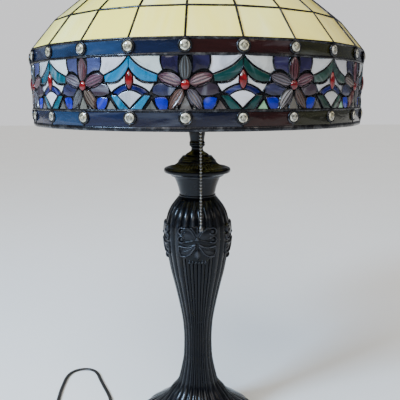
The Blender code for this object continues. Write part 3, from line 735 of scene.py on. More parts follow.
def round_the_band(name, section, replaces=(), edge=38.0):
    """A ring of solder round the band. Its section is (depth, height) points in mm, from the frieze's foot."""
    steps = COLUMNS * STEPS
    points = []
    for depth, height in section:
        points += [on_band(i * SPAN / STEPS, height, depth) for i in range(steps)]
    faces = rings_to_faces(len(section), steps, True)
    piece(name, points, faces, "solder", "shade", replaces, edge)


def frieze():
    """The cut pieces of twelve flowers and twelve tulips, the solder between them, and the stones."""
    tinted, opal, red, beads = Batch(), Batch(), Batch(), Batch()
    for flower in range(12):
        start = flower * 2 * SPAN
        ways = {-1: half_tints(flower, -1), 1: half_tints(flower, 1)}
        for side, tints in ways.items():
            for name, controls in HALF.items():
                line = outline_of(controls, start, side)
                white = name in ("top", "crescent")
                flat_piece(opal if white else tinted, line, shift_tint(tints[name], 0.12 if white else 0.22))
                bead(beads, line)
        foot = outline_of(FLOWER_FOOT, start)
        flat_piece(tinted, foot, shift_tint(STONE))
        bead(beads, foot)
        fan = outline_of(FAN, start)
        flat_piece(opal, fan, shift_tint(WHITE, 0.12))
        bead(beads, fan)
        for n, (root, tip, width) in enumerate(PETAL_PLACES):
            tints = [shift_tint(t, 0.2) for t in PETALS[(n + flower) % len(PETALS)]]
            petal(tinted, beads, (start + root[0], root[1]), (start + tip[0], tip[1]), width, tints)
        cabochon(red, beads, (start, 23.2), 4.1, 4.6, 2.4)
        cabochon(red, beads, (start + SPAN, 28.0), 3.7, 8.6, 2.4, 0.35)
    tinted.make("frieze_glass", "frieze", "shade", "frieze_glass", ("frieze",))
    opal.make("frieze_opal", "opal", "shade", "frieze_glass")
    red.make("frieze_cabochons", "red", "shade", "frieze_glass", edge=60)
    beads.make("frieze_solder", "solder", "shade", "solder", edge=70)
    backing = [(-0.9, 0.0), (-0.9, FRIEZE_HEIGHT), (-2.0, FRIEZE_HEIGHT), (-2.0, 0.0)]
    round_the_band("frieze_backing", backing)


def facet_point(line, turn_index, across, depth=0.0):
    """A point on a section line's facet, across from 0 to 1, that far out in metres."""
    radius, height = line
    a = around(radius, FLOWER_TURN + turn_index * COLUMN, height)
    b = around(radius, FLOWER_TURN + (turn_index + 1) * COLUMN, height)
    return a.lerp(b, across) + Vector((*(a + b).xy, 0.0)).normalized() * depth


def four_sided(batch, corners, tint, streak_along):
    """A flat four-cornered piece of glass with eased edges. Its corners run round from the lower left."""
    middle = sum(corners, Vector()) / 4
    wide = (corners[1] - corners[0]).normalized()
    high = (corners[3] + corners[2] - corners[0] - corners[1]).normalized()
    out = (corners[1] - corners[0]).cross(corners[3] - corners[0]).normalized()
    lean, swing = tilted(wide, 0.6), tilted(high, 0.6)
    shift = anywhere()
    steps = 5
    edge = []
    for a, b in zip(corners, corners[1:] + corners[:1]):
        edge += [a.lerp(b, k / steps) for k in range(steps)]
    points, grains = [], []
    for trim, depth in ((0.0004, -GLASS), (0.0004, -0.0004), (0.0009, -0.0001), (0.0016, 0.0)):
        for at in edge:
            local = at - middle
            x, y = local.dot(wide), local.dot(high)
            reach = max(abs(x), abs(y), 1e-6)
            local = local * (1 - trim / local.length * min(1.4, local.length / reach))
            points.append(middle + lean @ swing @ (local + out * depth))
            grains.append(shift + (Vector((x, y, 0)) if streak_along else Vector((y, x, 0))))
    batch.add(points, rings_to_faces(4, 4 * steps), tint, grains)


def pane_ring(name, look, low, high, node, tint_of, spread, streak_along):
    """A ring of flat panes between two section lines. tint_of gives each column's tint."""
    batch = Batch()
    for i in range(COLUMNS):
        corners = [facet_point(low, i, 0), facet_point(low, i, 1), facet_point(high, i, 1),
                   facet_point(high, i, 0)]
        four_sided(batch, corners, shift_tint(tint_of(i), spread), streak_along)
    batch.make(name, look, "shade", f"{look}_glass", (node,))


def borders():
    """The streaky dark pieces over and under the frieze."""
    for name, (low, high) in BORDER_LINES.items():
        pane_ring(f"{name}_border_glass", "border", low, high, f"{name}_border",
                  lambda i: FRONT_BORDERS[name].get(i) or RANDOM.choice(OTHER_BORDERS), 0.2, False)


def dome():
    """The dome's plain cream pieces, and the raised seams between them."""
    for row, (low, high) in enumerate(zip(DOME_LINES, DOME_LINES[1:]), 1):
        pane_ring(f"dome_glass_{row}", "cream", low, high, f"dome_row_{row}",
                  lambda i: RANDOM.choice(CREAMS), 0.05, True)
    seams = Batch()
    section = [(x * MM, y * MM) for x, y in oval(1.35, 2.1, 10, -1.05)]
    for i in range(COLUMNS):
        corner = [around(r, FLOWER_TURN + i * COLUMN, z) for r, z in DOME_LINES]
        path = evenly(corner, 0.007)
        sideways = around(1.0, FLOWER_TURN + i * COLUMN + math.pi / 2, 0.0)
        ups = []
        for k, at in enumerate(path):
            along = path[min(k + 1, len(path) - 1)] - path[max(k - 1, 0)]
            up = sideways.cross(along).normalized()
            ups.append(up if up.z > 0 else -up)
        seams.add(*tube(path, section, False, ups))
    for row, line in enumerate(DOME_LINES):
        path = []
        for i in range(COLUMNS):
            path += [facet_point(line, i, k / STEPS) for k in range(STEPS)]
        before, after = DOME_LINES[max(row - 1, 0)], DOME_LINES[min(row + 1, len(DOME_LINES) - 1)]
        slope = Vector((after[1] - before[1], before[0] - after[0])).normalized()
        ups = [(Vector((p.x, p.y, 0)).normalized() * slope.x + Vector((0, 0, slope.y))) for p in path]
        seams.add(*tube(path, section, True, ups))
    seams.make("dome_seams", "solder", "shade", "solder", ("dome_solder",), edge=70)


def band_seams():
    """The solder lines round the band, between its rows and up its corners."""
    seams = Batch()
    for height in (0.0, FRIEZE_HEIGHT):
        line = [Vector((i * SPAN / STEPS, height)) for i in range(COLUMNS * STEPS)]
        bead(seams, line, oval(1.6, 2.45, 8, -1.0))
    for i in range(COLUMNS):
        for low, high in ((-15.0, 0.0), (FRIEZE_HEIGHT, 64.0)):
            line = [Vector((i * SPAN, low + (high - low) * k / 8)) for k in range(9)]
            bead(seams, line, oval(1.5, 2.3, 8, -1.1), closed=False)
    seams.make("band_seams", "solder", "shade", "solder", edge=70)


def jewels():
    """The clear jewels on the band's corners, each in a collar of solder."""
    stones, collars = Batch(), Batch()
    sides, collar_sides = 20, 24
    # Each ring's shine is painted light: a dark rim and pale rings stand in for light seen through a clear
    # jewel.
    rings = [(1.0, -0.0018, 0.03), (1.0, 0.0004, 0.03), (0.92, 0.0013, 0.08), (0.86, 0.00175, 0.9),
             (0.66, 0.0023, 1.0), (0.58, 0.00245, 0.35), (0.46, 0.0026, 0.22), (0.36, 0.0027, 0.5),
             (0.20, 0.00277, 0.9), (0.05, 0.0028, 0.7)]  # share of the radius, rise and shine
    for i in range(COLUMNS):
        turn = FLOWER_TURN + i * COLUMN
        out, along = around(1.0, turn, 0.0), around(1.0, turn + math.pi / 2, 0.0)

        def towards(angle):
            return along * math.cos(angle) + Vector((0, 0, math.sin(angle)))

        for height in JEWEL_HEIGHTS:
            centre = around(BAND_R - 0.0004, turn, height)
            size = JEWEL_R * RANDOM.uniform(0.90, 0.97)
            bright = Vector((0.68, 0.60, 0.34)).lerp(Vector((0.62, 0.60, 0.50)), RANDOM.uniform(0.0, 1.0))
            points, tints = [], []
            for k, (share, rise, painted_shine) in enumerate(rings):
                for j in range(sides):
                    angle = j * FULL_TURN / sides
                    facet = 1 + (0.025 * math.cos(8 * angle) if 1 < k < 6 else 0.0)
                    points.append(centre + towards(angle) * size * share * facet + out * rise)
                    # Lighter and darker round each jewel: painted glints.
                    tints.append(tuple(bright * painted_shine * (0.72 + 0.28 * math.cos(3 * angle + i))))
            stones.add(points, rings_to_faces(len(rings), sides), tints=tints)
            path = [centre + towards(j * FULL_TURN / collar_sides) * (size + 0.0006)
                    for j in range(collar_sides)]
            collars.add(*tube(path, oval(0.0010, 0.0014, 8, 0.0003), True, [out] * collar_sides))
    stones.make("clear_jewels", "jewel", "shade", "border_glass", edge=25)
    collars.make("jewel_collars", "solder", "shade", "solder", edge=70)


def rim():
    """The channel round the band's lower edge."""
    section = [(-0.0032, 0.4307), (-0.0029, 0.4272), (-0.0020, 0.4263), (-0.0004, 0.4262), (0.0008, 0.4270),
               (0.0011, 0.4285), (0.0010, 0.4301), (0.0004, 0.4309), (-0.0006, 0.4309), (-0.0020, 0.4309)]
    section = [(depth / MM, (height - FRIEZE_BOTTOM) / MM) for depth, height in section]
    round_the_band("rim_bead", section, ("rim_channel",), 70)


# The base --------------------------------------------------------------------

def flute(angle, height):
    """How deep the casting is cut there: 24 flutes, split into narrow reeds under each medallion."""
    turns = math.degrees(angle) / 15
    cut = 1 - abs(math.sin(math.pi * turns)) ** 0.5
    from_medallion = abs(math.degrees(angle + math.pi / 4) % 90 - 45)
    if from_medallion <= 22.6 and height < MEDALLION_HEIGHT:
        cut = max(cut, 0.8 * (1 - abs(math.sin(2 * math.pi * turns)) ** 0.5))
    return cut


def casting_profile():
    """The casting's outside as one smooth line of (radius, height) points."""
    return smooth([(r, z, 0) for r, z in CASTING], 8)


def casting():
    """The fluted column and foot, hollow below."""
    profile = evenly(casting_profile(), 0.0017)
    lip = [(0.0252, 0.3287), (0.0258, 0.3294), (0.0250, 0.3301), (0.0243, 0.3309)]
    outline = [(p.x, p.y) for p in profile] + lip + CASTING_INSIDE
    fluted = len(profile)
    sides = 480

    def ripple(angle, k):
        if k >= fluted:
            return 0.0
        radius, height = outline[k]
        fade = min(1.0, (0.3295 - height) / 0.016) * min(1.0, max(0.15, height / 0.02))
        return -flute(angle, height) * 0.0024 * (radius / 0.044) ** 0.6 * fade

    # The flutes' crests are marked proud: worn metal and a thin painted highlight line.
    proud = []
    for k, (radius, height) in enumerate(outline):
        for i in range(sides):
            cut = flute(i * FULL_TURN / sides, height)
            proud.append(max(0.0, 1 - 12 * cut) * 0.6 if k < fluted else 0.0)
    turned("fluted_casting", outline, sides, "bronze", "root", "bronze_casting", "base_casting", None, proud,
           50, ripple=ripple)


def ridge(u, v, path, half_width, height):
    """The height of a rounded ridge along a line of points."""
    best = np.full(u.shape, 1e9)
    for (x0, y0), (x1, y1) in zip(path, path[1:]):
        dx, dy = x1 - x0, y1 - y0
        t = np.clip(((u - x0) * dx + (v - y0) * dy) / (dx * dx + dy * dy), 0, 1)
        best = np.minimum(best, np.hypot(u - x0 - t * dx, v - y0 - t * dy))
    return height * np.sqrt(np.clip(1 - (best / half_width) ** 2, 0, 1))


def blob(u, v, x, y, half_wide, half_high, turn, height, power=0.6):
    """The height of a domed oval, turned by degrees."""
    c, s = math.cos(math.radians(turn)), math.sin(math.radians(turn))
    a, b = (u - x) * c + (v - y) * s, (v - y) * c - (u - x) * s
    return height * np.clip(1 - (a / half_wide) ** 2 - (b / half_high) ** 2, 0, 1) ** power


def arc(x, y, radius, start, end, steps=12):
    """Points along an arc between two angles in degrees."""
    angles = [math.radians(start + (end - start) * k / steps) for k in range(steps + 1)]
    return [(x + radius * math.cos(angle), y + radius * math.sin(angle)) for angle in angles]


def medallion_height(u, v):
    """The height in mm of the cast flower's relief, u mm to the side and v mm up from its knob."""
    w = np.abs(u)
    shapes = [
        blob(u, v, 0, 0, 2.6, 2.6, 0, 3.0),
        blob(w, v, 10.5, 5.0, 10.0, 7.0, 12, 1.5),
        ridge(w, v, [(2.2, 2.6), (6.0, 9.0), (11.0, 12.6), (16.0, 12.6)], 1.0, 2.1),
        ridge(w, v, arc(18.0, 8.6, 4.2, 110, -150), 1.15, 2.6),
        blob(w, v, 18.0, 8.6, 2.4, 2.4, 0, 2.2),
        ridge(w, v, arc(18.4, -1.2, 4.0, 150, -130), 1.15, 2.4),
        blob(w, v, 18.2, -1.2, 2.3, 2.3, 0, 2.0),
        ridge(w, v, [(3.0, -1.0), (8.0, -2.6), (15.0, -4.8)], 0.9, 1.7),
        ridge(w, v, [(0.6, 3.4), (3.0, 8.4), (6.6, 13.0)], 1.1, 2.0),
        ridge(u, v, [(0.0, 3.0), (0.0, 13.6)], 1.0, 2.0),
        blob(w, v, 11.4, -14.8, 10.4, 6.0, -28, 1.3),
        ridge(w, v, [(2.2, -6.6), (8.0, -9.8), (15.0, -10.2), (21.6, -9.2)], 1.3, 3.0),
        ridge(w, v, [(2.6, -9.4), (8.5, -18.4), (14.0, -21.6), (20.0, -21.8)], 1.3, 3.0),
        ridge(w, v, [(3.0, -9.0), (10.0, -14.0), (19.0, -16.4)], 0.9, 1.9),
        ridge(w, v, [(21.6, -9.2), (22.6, -15.0), (20.0, -21.8)], 1.0, 2.0),
        blob(u, v, 0, -18.6, 3.6, 6.6, 0, 2.2),
        ridge(u, v, [(0.0, -13.0), (0.0, -24.5)], 0.7, 2.9),
    ]
    shapes += [blob(u, v, -9.5 + 3.8 * k, -28.6, 1.45, 2.5, -24, 2.8) for k in range(6)]
    relief = np.maximum.reduce(shapes)
    inside = ease((1.04 - np.hypot(u / 25.0, (v + 7.5) / 23.5)) / 0.10)
    return relief + 0.15 - 2.6 * (1 - inside) * (relief < 0.05)


def medallions():
    """Four cast flowers on the casting's belly."""
    profile = casting_profile()
    heights, radii = np.array([p.y for p in profile]), np.array([p.x for p in profile])
    us, vs = np.linspace(-29.5, 29.5, 126), np.linspace(-36.5, 19.0, 118)
    grid_u, grid_v = np.meshgrid(us, vs)
    relief = medallion_height(grid_u / 1.10, grid_v / 1.10)
    z = MEDALLION_HEIGHT + grid_v * MM
    base = np.interp(z, heights, radii)
    turn = grid_u * MM / 0.0430
    points, faces, proud = [], [], []
    wide, high = len(us), len(vs)
    for number in range(MEDALLIONS):
        start = len(points)
        for front in (True, False):
            radius = base + relief * MM * 0.92 if front else base - 0.0035
            angle = turn + number * math.pi / 2
            xyz = np.stack([radius * np.sin(angle), -radius * np.cos(angle), z], -1).reshape(-1, 3)
            points += [tuple(p) for p in xyz]
            # Higher relief is marked more proud: worn metal and a painted highlight.
            proud += list(1.6 * np.clip(relief.ravel() / 3.0, 0, 1) ** 2) if front else [0.0] * (wide * high)
        faces += front_and_back(wide, high, start)
    piece("casting_medallions", points, faces, "bronze", "root", edge=60,
          values={"proud": proud})


def fine(corners, step=0.0009):
    """A turned outline of (radius, height) points in mm. It is smooth between those with a third value."""
    line = []
    marks = [i for i, c in enumerate(corners) if len(c) > 2]
    for a, b in zip(marks, marks[1:]):
        run = [(c[0] * MM, c[1] * MM, 0.0) for c in corners[a:b + 1]]
        line += evenly(smooth(run, 8), step)[:-1] if len(run) > 2 else [Vector(run[0])]
    return [(p.x, p.y) for p in line] + [(corners[-1][0] * MM, corners[-1][1] * MM)]


def neck():
    """The flared collar, the ribbed plate on it, and the spindle that carries the cluster."""
    collar = fine([(5.5, 357.4, 1), (31.6, 357.4, 1), (30.6, 356.1), (29.4, 353.5), (27.4, 348.6),
                   (25.4, 342.5), (23.9, 335.8), (23.4, 333.6, 1), (24.3, 333), (24.6, 332.2),
                   (24.3, 331.2, 1), (20.8, 331.2, 1), (20.8, 334.5, 1), (26.2, 351, 1), (20, 354.4, 1),
                   (5.5, 354.4, 1)])
    turned("flared_collar", collar, 120, "bronze", "root", "bronze_casting", "neck_collar", None, 0.15, 40)
    plate = fine([(5.5, 357.7, 1), (34.5, 357.7, 1), (36.2, 360), (40, 361.6, 1), (42.4, 362.2),
                  (43.6, 363.6), (43.8, 365.6), (43.2, 367.3), (41.8, 368.2), (40.6, 368.1, 1), (40.3, 368.6),
                  (39.2, 369.2), (38.3, 368.9, 1), (36, 369.4), (33, 370.3), (29.8, 371.8), (27.2, 373.4),
                  (25.5, 375.2), (24.6, 377.2, 1), (24.6, 377.9, 1), (23.6, 378.3), (22.8, 379.2, 1),
                  (22.6, 380, 1), (21.6, 380.3), (21.1, 381.2), (20.4, 382.4, 1), (19.6, 382.9),
                  (19.3, 383.7, 1), (5.5, 383.7, 1)], 0.0007)

    def ribs(angle, k):
        radius, height = plate[k]
        if not (0.0255 < radius < 0.0374 and height > 0.3690):
            return 0.0
        ends = min(1.0, (radius - 0.0255) / 0.0015, (0.0374 - radius) / 0.0015)
        return -0.0016 * ends * (1 - abs(math.sin(24 * angle)) ** 0.6)

    sides = 336
    # The ribs' crests are marked proud: worn metal and a painted highlight line.
    proud = []
    for k, (radius, height) in enumerate(plate):
        for i in range(sides):
            crest = 0.9 if abs(ribs(i * FULL_TURN / sides, k)) < 0.0002 else 0.0
            proud.append(crest if 0.0255 < radius < 0.0374 else 0.0)
    turned("ribbed_plate", plate, sides, "bronze", "root", "bronze_trim", "cap_plate", None, proud, 40,
           ripple=ribs)
    spindle = fine([(5.5, 384, 1), (15, 384, 1), (15.2, 385.2), (14, 386.3), (12.8, 387.1),
                    (11, 388.1, 1), (10.1, 388.8), (8.6, 389.8), (7.9, 391.2), (7.8, 393.8), (8.4, 395),
                    (9.4, 396, 1), (10, 396.6), (10.3, 397.9), (10, 399.2, 1), (10.3, 399.9), (10.1, 401),
                    (9.4, 402.2), (9.3, 403.5), (9.7, 407), (10.4, 411), (10.8, 415), (10.9, 420),
                    (11, 424.7, 1), (5.5, 424.7, 1)],
                   0.0006)
    turned("turned_spindle", spindle, 72, "bronze", "root", "bronze_trim", "spindle", None, 0.0, 40)


def foot_felt():
    """The green felt pad under the foot."""
    outline = [(0.0150, 0.0002), (0.0153, 0.0), (0.0797, 0.0), (0.0800, 0.0003), (0.0800, 0.0012),
               (0.0797, 0.0015), (0.0153, 0.0015), (0.0150, 0.0013)]
    pad = turned("felt_pad_round", outline, 128, "felt", "root", "felt", "felt_pad")


# The shade's fittings --------------------------------------------------------

def fittings():
    """The heat cap with its vents, the finial, and the crown ring."""
    rings = fine([(10.8, 616.8, 1), (13, 615.8), (19, 614.9), (25, 613.8), (33, 612.3), (40, 610.4),
                  (46, 608.4), (49.2, 607), (49.9, 606.4, 1)], 0.0011)
    sides = 96
    skin = bmesh.new()
    grid = [[skin.verts.new(around(r, i * FULL_TURN / sides, z)) for i in range(sides)] for r, z in rings]
    for k, (inner, outer) in enumerate(zip(grid, grid[1:])):
        radius = (rings[k][0] + rings[k + 1][0]) / 2
        for i in range(sides):
            vent = i % 8 in (3, 4) and 0.0275 < radius < 0.0365
            if not vent:
                n = (i + 1) % sides
                skin.faces.new((inner[i], inner[n], outer[n], outer[i]))
    mesh = bpy.data.meshes.new("heat_cap_vented")
    bmesh.ops.recalc_face_normals(skin, faces=skin.faces)
    skin.to_mesh(mesh)
    skin.free()
    mesh.attributes.new("proud", "FLOAT", "POINT")
    cap = add("heat_cap_vented", mesh)
    mesh.materials.append(LOOKS["bronze"])
    mesh.shade_smooth()
    thick = cap.modifiers.new("thick", "SOLIDIFY")
    thick.thickness, thick.offset = 0.0010, -1.0
    round_off = cap.modifiers.new("round", "SUBSURF")
    round_off.levels = round_off.render_levels = 1
    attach(cap, "shade")
    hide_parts("heat_cap")
    finial = fine([(0.4, 631, 1), (5.2, 629.5, 1), (5.2, 617.8, 1), (9.4, 617.8, 1), (10.3, 618.8), (10, 620),
                   (8.8, 620.8, 1), (7.6, 621.8), (7, 623.2), (7.6, 624.6, 1), (8.8, 625), (9.1, 626),
                   (8.6, 627, 1), (9.8, 629), (11.8, 631.8), (12.5, 635), (12.2, 638.5), (10.8, 642),
                   (8.5, 645), (5.8, 647.4, 1), (5, 648), (4.8, 648.8), (4, 650.4), (2.2, 651.7),
                   (0.3, 652, 1)], 0.0005)

    def gadroons(angle, k):
        radius, height = finial[k]
        share = max(0.0, 1 - abs(height - 0.6350) / 0.0075)
        return -0.0006 * share * (1 - abs(math.sin(8 * angle))) if radius > 0.006 else 0.0

    turned("turned_finial", finial, 96, "bronze", "finial", "bronze_trim", "finial", None, 0.3, 40,
           ripple=gadroons, closed=False)
    crown = fine([(37.2, 600.3, 1), (42.8, 600.3, 1), (43, 601), (43, 604.4), (42.7, 605.2, 1),
                  (37.2, 605.2, 1), (37, 604.5), (37, 601), (37.2, 600.4, 1)], 0.0010)
    turned("crown_band", crown, 96, "brass", "shade", "socket_brass", "crown_ring")


# The sockets and chains ------------------------------------------------------

def thread(outline_r, low, high, pitch, depth):
    """A rolled thread's outline, as rings."""
    count = int((high - low) / pitch * 6)
    return [(outline_r - depth * (0.5 - 0.5 * math.cos(FULL_TURN * k / 6)), low + (high - low) * k / count)
            for k in range(count + 1)]


def socket(side, place):
    """A socket's cap and shell, and the arm that carries it, turned about the socket's own axis."""
    cap = fine([(5.2, 0, 1), (10, 0, 1), (12.8, 1.2), (15.2, 3.6), (17, 6.6), (18, 9, 1), (18.5, 9.6),
                (18.3, 10.6, 1), (18.4, 14), (18.5, 16, 1), (17.6, 16, 1), (17.2, 9.5, 1), (14.2, 4.8, 1),
                (5.2, 3.4, 1)])
    turned(f"{side}_cap_shell", cap, 72, "brass", "root", "socket_brass", f"{side}_socket_cap", place)
    shell = fine([(17.7, 16.3, 1), (18.5, 16.3, 1), (18.5, 20, 1), (18.1, 20.6), (18, 21.4), (18.4, 22, 1),
                  (18.2, 30), (18, 40, 1), (18.3, 40.8), (17.9, 41.8, 1), (17.7, 50), (17.8, 54.5),
                  (18.2, 55.2), (18.1, 56, 1), (16.7, 56, 1)])
    turned(f"{side}_brass_shell", shell, 72, "brass", "root", "socket_brass", f"{side}_socket_shell", place)
    arm = fine([(3.4, -11, 1), (5, -11, 1), (5, -3.4, 1), (7.6, -3.4, 1), (8.2, -2.8), (8.2, -1),
                (7.6, -0.4, 1), (4.8, -0.4, 1), (4.8, 3, 1), (3.4, 3, 1)])
    turned(f"{side}_arm_and_collar", arm, 48, "bronze", "root", "bronze_trim", f"{side}_arm", place, 0.2, 40)


def bulb(side, place):
    """A bulb in its socket: the threaded base and the glass."""
    base = ([(0.0003, 0.0362), (0.0030, 0.0362), (0.0042, 0.0368), (0.0050, 0.0380), (0.0110, 0.0398)]
            + thread(0.0131, 0.0410, 0.0590, 0.0036, 0.0011) + [(0.0130, 0.0600), (0.0003, 0.0600)])
    turned(f"{side}_screw_base", base, 48, "bulb_base", f"{side}_bulb", "bulb_base_metal",
           f"{side}_bulb_base", place, closed=False)
    glass = fine([(0.3, 147, 1), (8, 146), (15, 143.2), (21.5, 138.2), (27, 130), (29.6, 122), (30, 116.5),
                  (29.2, 108.5), (26.8, 99), (23, 90.5), (19, 81.5), (16, 74), (14.2, 67), (13.5, 60.3, 1),
                  (12.7, 60.3, 1), (13.4, 67), (15.2, 74.2), (18.2, 81.8), (22.2, 90.8), (26, 99.3),
                  (28.4, 108.8), (29.2, 116.5), (28.8, 121.8), (26.3, 129.5), (21, 137.4), (14.7, 142.4),
                  (7.9, 145.2), (0.3, 146.2, 1)], 0.0030)
    turned(f"{side}_bulb_envelope", glass, 64, "bulb_glass", f"{side}_bulb", "bulb_glass",
           f"{side}_bulb_glass", place, edge=60, closed=False)


def pull(side, drop):
    """A switch's chain guide and its ball chain, with the bell at the end. The top ball is a small one."""
    guide = fine([(2.1, 427.5, 1), (4, 427.5, 1), (4.3, 428), (4.1, 429), (3.5, 430.4, 1), (3.4, 433),
                  (3.4, 436, 1), (2.1, 436, 1)], 0.0005)
    turned(f"{side}_guide_tube", guide, 32, "brass", "root", "socket_brass", f"{side}_chain_guide", drop)
    chain = Batch()
    top, bottom, pitch, ball, end_ball = 0.4269, 0.3020, 0.0040, 0.0016, 0.0009
    count = int((top - bottom) / pitch)
    for k in range(count + 1):
        z = top - ball - k * pitch
        size = ball if k else end_ball
        sphere = [(max(size * math.sin(math.pi * j / 8), 0.00005), z - size * math.cos(math.pi * j / 8))
                  for j in range(9)]
        wire = [(0.0005, z - 0.0012), (0.0005, max(z - pitch, bottom))]
        for outline, sides in ((sphere, 12), (wire, 8)):
            points, faces = lathe(outline, sides, closed=False)
            chain.add([drop @ p for p in points], faces)
    chain.make(f"{side}_ball_chain", "nickel", f"{side}_chain", "chain_nickel", (f"{side}_pull_chain",), 60)
    bell = fine([(0.2, 301.7, 1), (1.2, 301.7, 1), (1.4, 301), (2, 299.8), (2.3, 298), (2.6, 296.6),
                 (2.4, 295.8, 1), (1.2, 295.7), (0.2, 295.7, 1)], 0.0003)
    turned(f"{side}_bell_pull", bell, 24, "nickel", f"{side}_chain", "chain_bell", f"{side}_chain_bell", drop,
           closed=False)


def sockets():
    """Both sockets with their bulbs and chains, and the hub between them."""
    for side, turn in SIDES.items():
        leaning = Euler((math.pi / 2 - LEAN, 0.0, turn)).to_matrix().to_4x4()
        place = Matrix.Translation(around(SOCKET_REACH, turn, SOCKET_HEIGHT)) @ leaning
        socket(side, place)
        bulb(side, place)
        pull(side, Matrix.Translation(around(CHAIN_REACH, turn, 0.0)))
    hub = fine([(5.5, 425, 1), (12.5, 425, 1), (15, 426.4), (17.2, 428.4), (18, 430.5, 1), (17.8, 432),
                (17.8, 445), (18, 446.5, 1), (17.2, 449), (15, 451), (12, 452, 1), (5.5, 452, 1)])
    turned("cluster_hub", hub, 72, "bronze", "root", "bronze_trim", "socket_hub", None, 0.2, 40)


# The lead --------------------------------------------------------------------

def coil_points():
    """The coil's turns, counter-clockwise seen from above, from its left side to its front."""
    points = []
    steps, last = 16, len(COIL_TURNS) - 1
    for k in range((last + 1) * steps + steps // 4 + 1):
        number = min(k // steps, last)
        share = float(ease(((k - number * steps) / steps - 0.70) / 0.30)) if number < last else 0.0
        (c0, l0), (c1, l1) = COIL_TURNS[number], COIL_TURNS[min(number + 1, last)]
        radius = COIL_COLUMNS[c0] + (COIL_COLUMNS[c1] - COIL_COLUMNS[c0]) * share
        height = COIL_LAYERS[l0] + (COIL_LAYERS[l1] - COIL_LAYERS[l0]) * share
        angle = math.pi + k * FULL_TURN / steps
        points.append((COIL_CENTRE[0] + radius * math.cos(angle), COIL_CENTRE[1] + radius * math.sin(angle),
                       height))
    return points


def squared(angle, half_wide, half_high, power):
    """A point of an oval that is squared off a little: a power of 1 leaves it round."""
    c, s = math.cos(angle), math.sin(angle)
    return half_wide * math.copysign(abs(c) ** power, c), half_high * math.copysign(abs(s) ** power, s)


def flex(path):
    """The flat twin lead itself, with a groove along both of its sides."""
    half, thick = LEAD_WIDTH / 2, LEAD_THICKNESS / 2
    section = []
    for k in range(16):
        angle = k * FULL_TURN / 16
        x = half * math.cos(angle)
        lobe = thick * (1 - 0.32 * math.exp(-(x / 0.0006) ** 2))
        section.append((x, lobe * math.copysign(abs(math.sin(angle)) ** 0.75, math.sin(angle))))
    points, faces = tube(path, section)
    return piece("flat_lead", points, faces, "lead", "root",
                 ("power_cord", "cord_tail", "cord_coil"), 60)


def moulded_plug():
    """The plug's body, with the ribs of its strain relief."""
    sections = [(0.0, 0.0034, 0.0021), (0.0015, 0.0040, 0.0028), (0.0030, 0.0036, 0.0025),
                (0.0045, 0.0046, 0.0032), (0.0060, 0.0042, 0.0029), (0.0075, 0.0054, 0.0036),
                (0.0090, 0.0052, 0.0034), (0.0110, 0.0072, 0.0043), (0.0125, 0.0083, 0.0048),
                (0.0140, 0.0078, 0.0043), (0.0155, 0.0084, 0.0048), (0.0170, 0.0079, 0.0043),
                (0.0185, 0.0085, 0.0048), (0.0225, 0.0085, 0.0049), (0.0245, 0.0083, 0.0047),
                (0.0250, 0.0076, 0.0041)]
    sides = 32
    points = []
    for x, wide, high in sections:
        for k in range(sides):
            points.append(PLUG_START + Vector((x, *squared(k * FULL_TURN / sides, wide, high, 0.62))))
    faces = rings_to_faces(len(sections), sides)
    return piece("moulded_plug", points, faces, "plastic", "root", ("plug_body",), 50)


def blades():
    """The plug's two blades, each with a round hole near its end."""
    made_blades = []
    for name, sign in (("left", 1), ("right", -1)):
        bm = bmesh.new()
        outline = [(0, -3.1), (14.2, -3.1), (16.0, -1.6), (16.0, 1.6), (14.2, 3.1), (0, 3.1)]
        hole = [(12.2 + x, y) for x, y in oval(1.5, 1.5, 16)]
        edges = []
        for loop in (outline, hole):
            verts = [bm.verts.new((x * MM, -0.00075, y * MM)) for x, y in loop]
            edges += [bm.edges.new(pair) for pair in zip(verts, verts[1:] + verts[:1])]
        bmesh.ops.triangle_fill(bm, edges=edges, use_beauty=True)
        made = bmesh.ops.extrude_face_region(bm, geom=bm.faces[:])
        bmesh.ops.translate(bm, verts=[v for v in made["geom"] if isinstance(v, bmesh.types.BMVert)],
                            vec=(0, 0.0015, 0))
        root = PLUG_START + Vector((PLUG_LENGTH + GAP, sign * 0.00635, 0))
        bmesh.ops.translate(bm, verts=bm.verts, vec=root)
        bm.verts.index_update()
        points = [v.co.copy() for v in bm.verts]
        faces = [tuple(v.index for v in f.verts) for f in bm.faces]
        bm.free()
        made_blades.append(piece(f"{name}_blade", points, faces, "plug_brass", "root",
                                 (f"plug_blade_{name}",)))
    return made_blades


def bushing():
    """The ribbed strain relief in the foot's side, lying along the lead."""
    outline = [(0.0002, 0.0), (0.0037, 0.0)]
    for k in range(7):
        z = 0.0012 + 0.0016 * k
        outline += [(0.0041, z), (0.0041, z + 0.0008), (0.0034, z + 0.0009), (0.0034, z + 0.0015)]
    outline += [(0.0042, 0.0130), (0.0040, 0.0160), (0.0038, GROMMET_LENGTH), (0.0002, GROMMET_LENGTH)]
    lying = Matrix.Translation((EXIT[0] + 2 * GAP, 0.0, EXIT[2])) @ Matrix.Rotation(math.pi / 2, 4, "Y")
    return turned("ribbed_bushing", outline, 32, "plastic", "root", "black_plastic", "cord_grommet", lying,
                  closed=False)


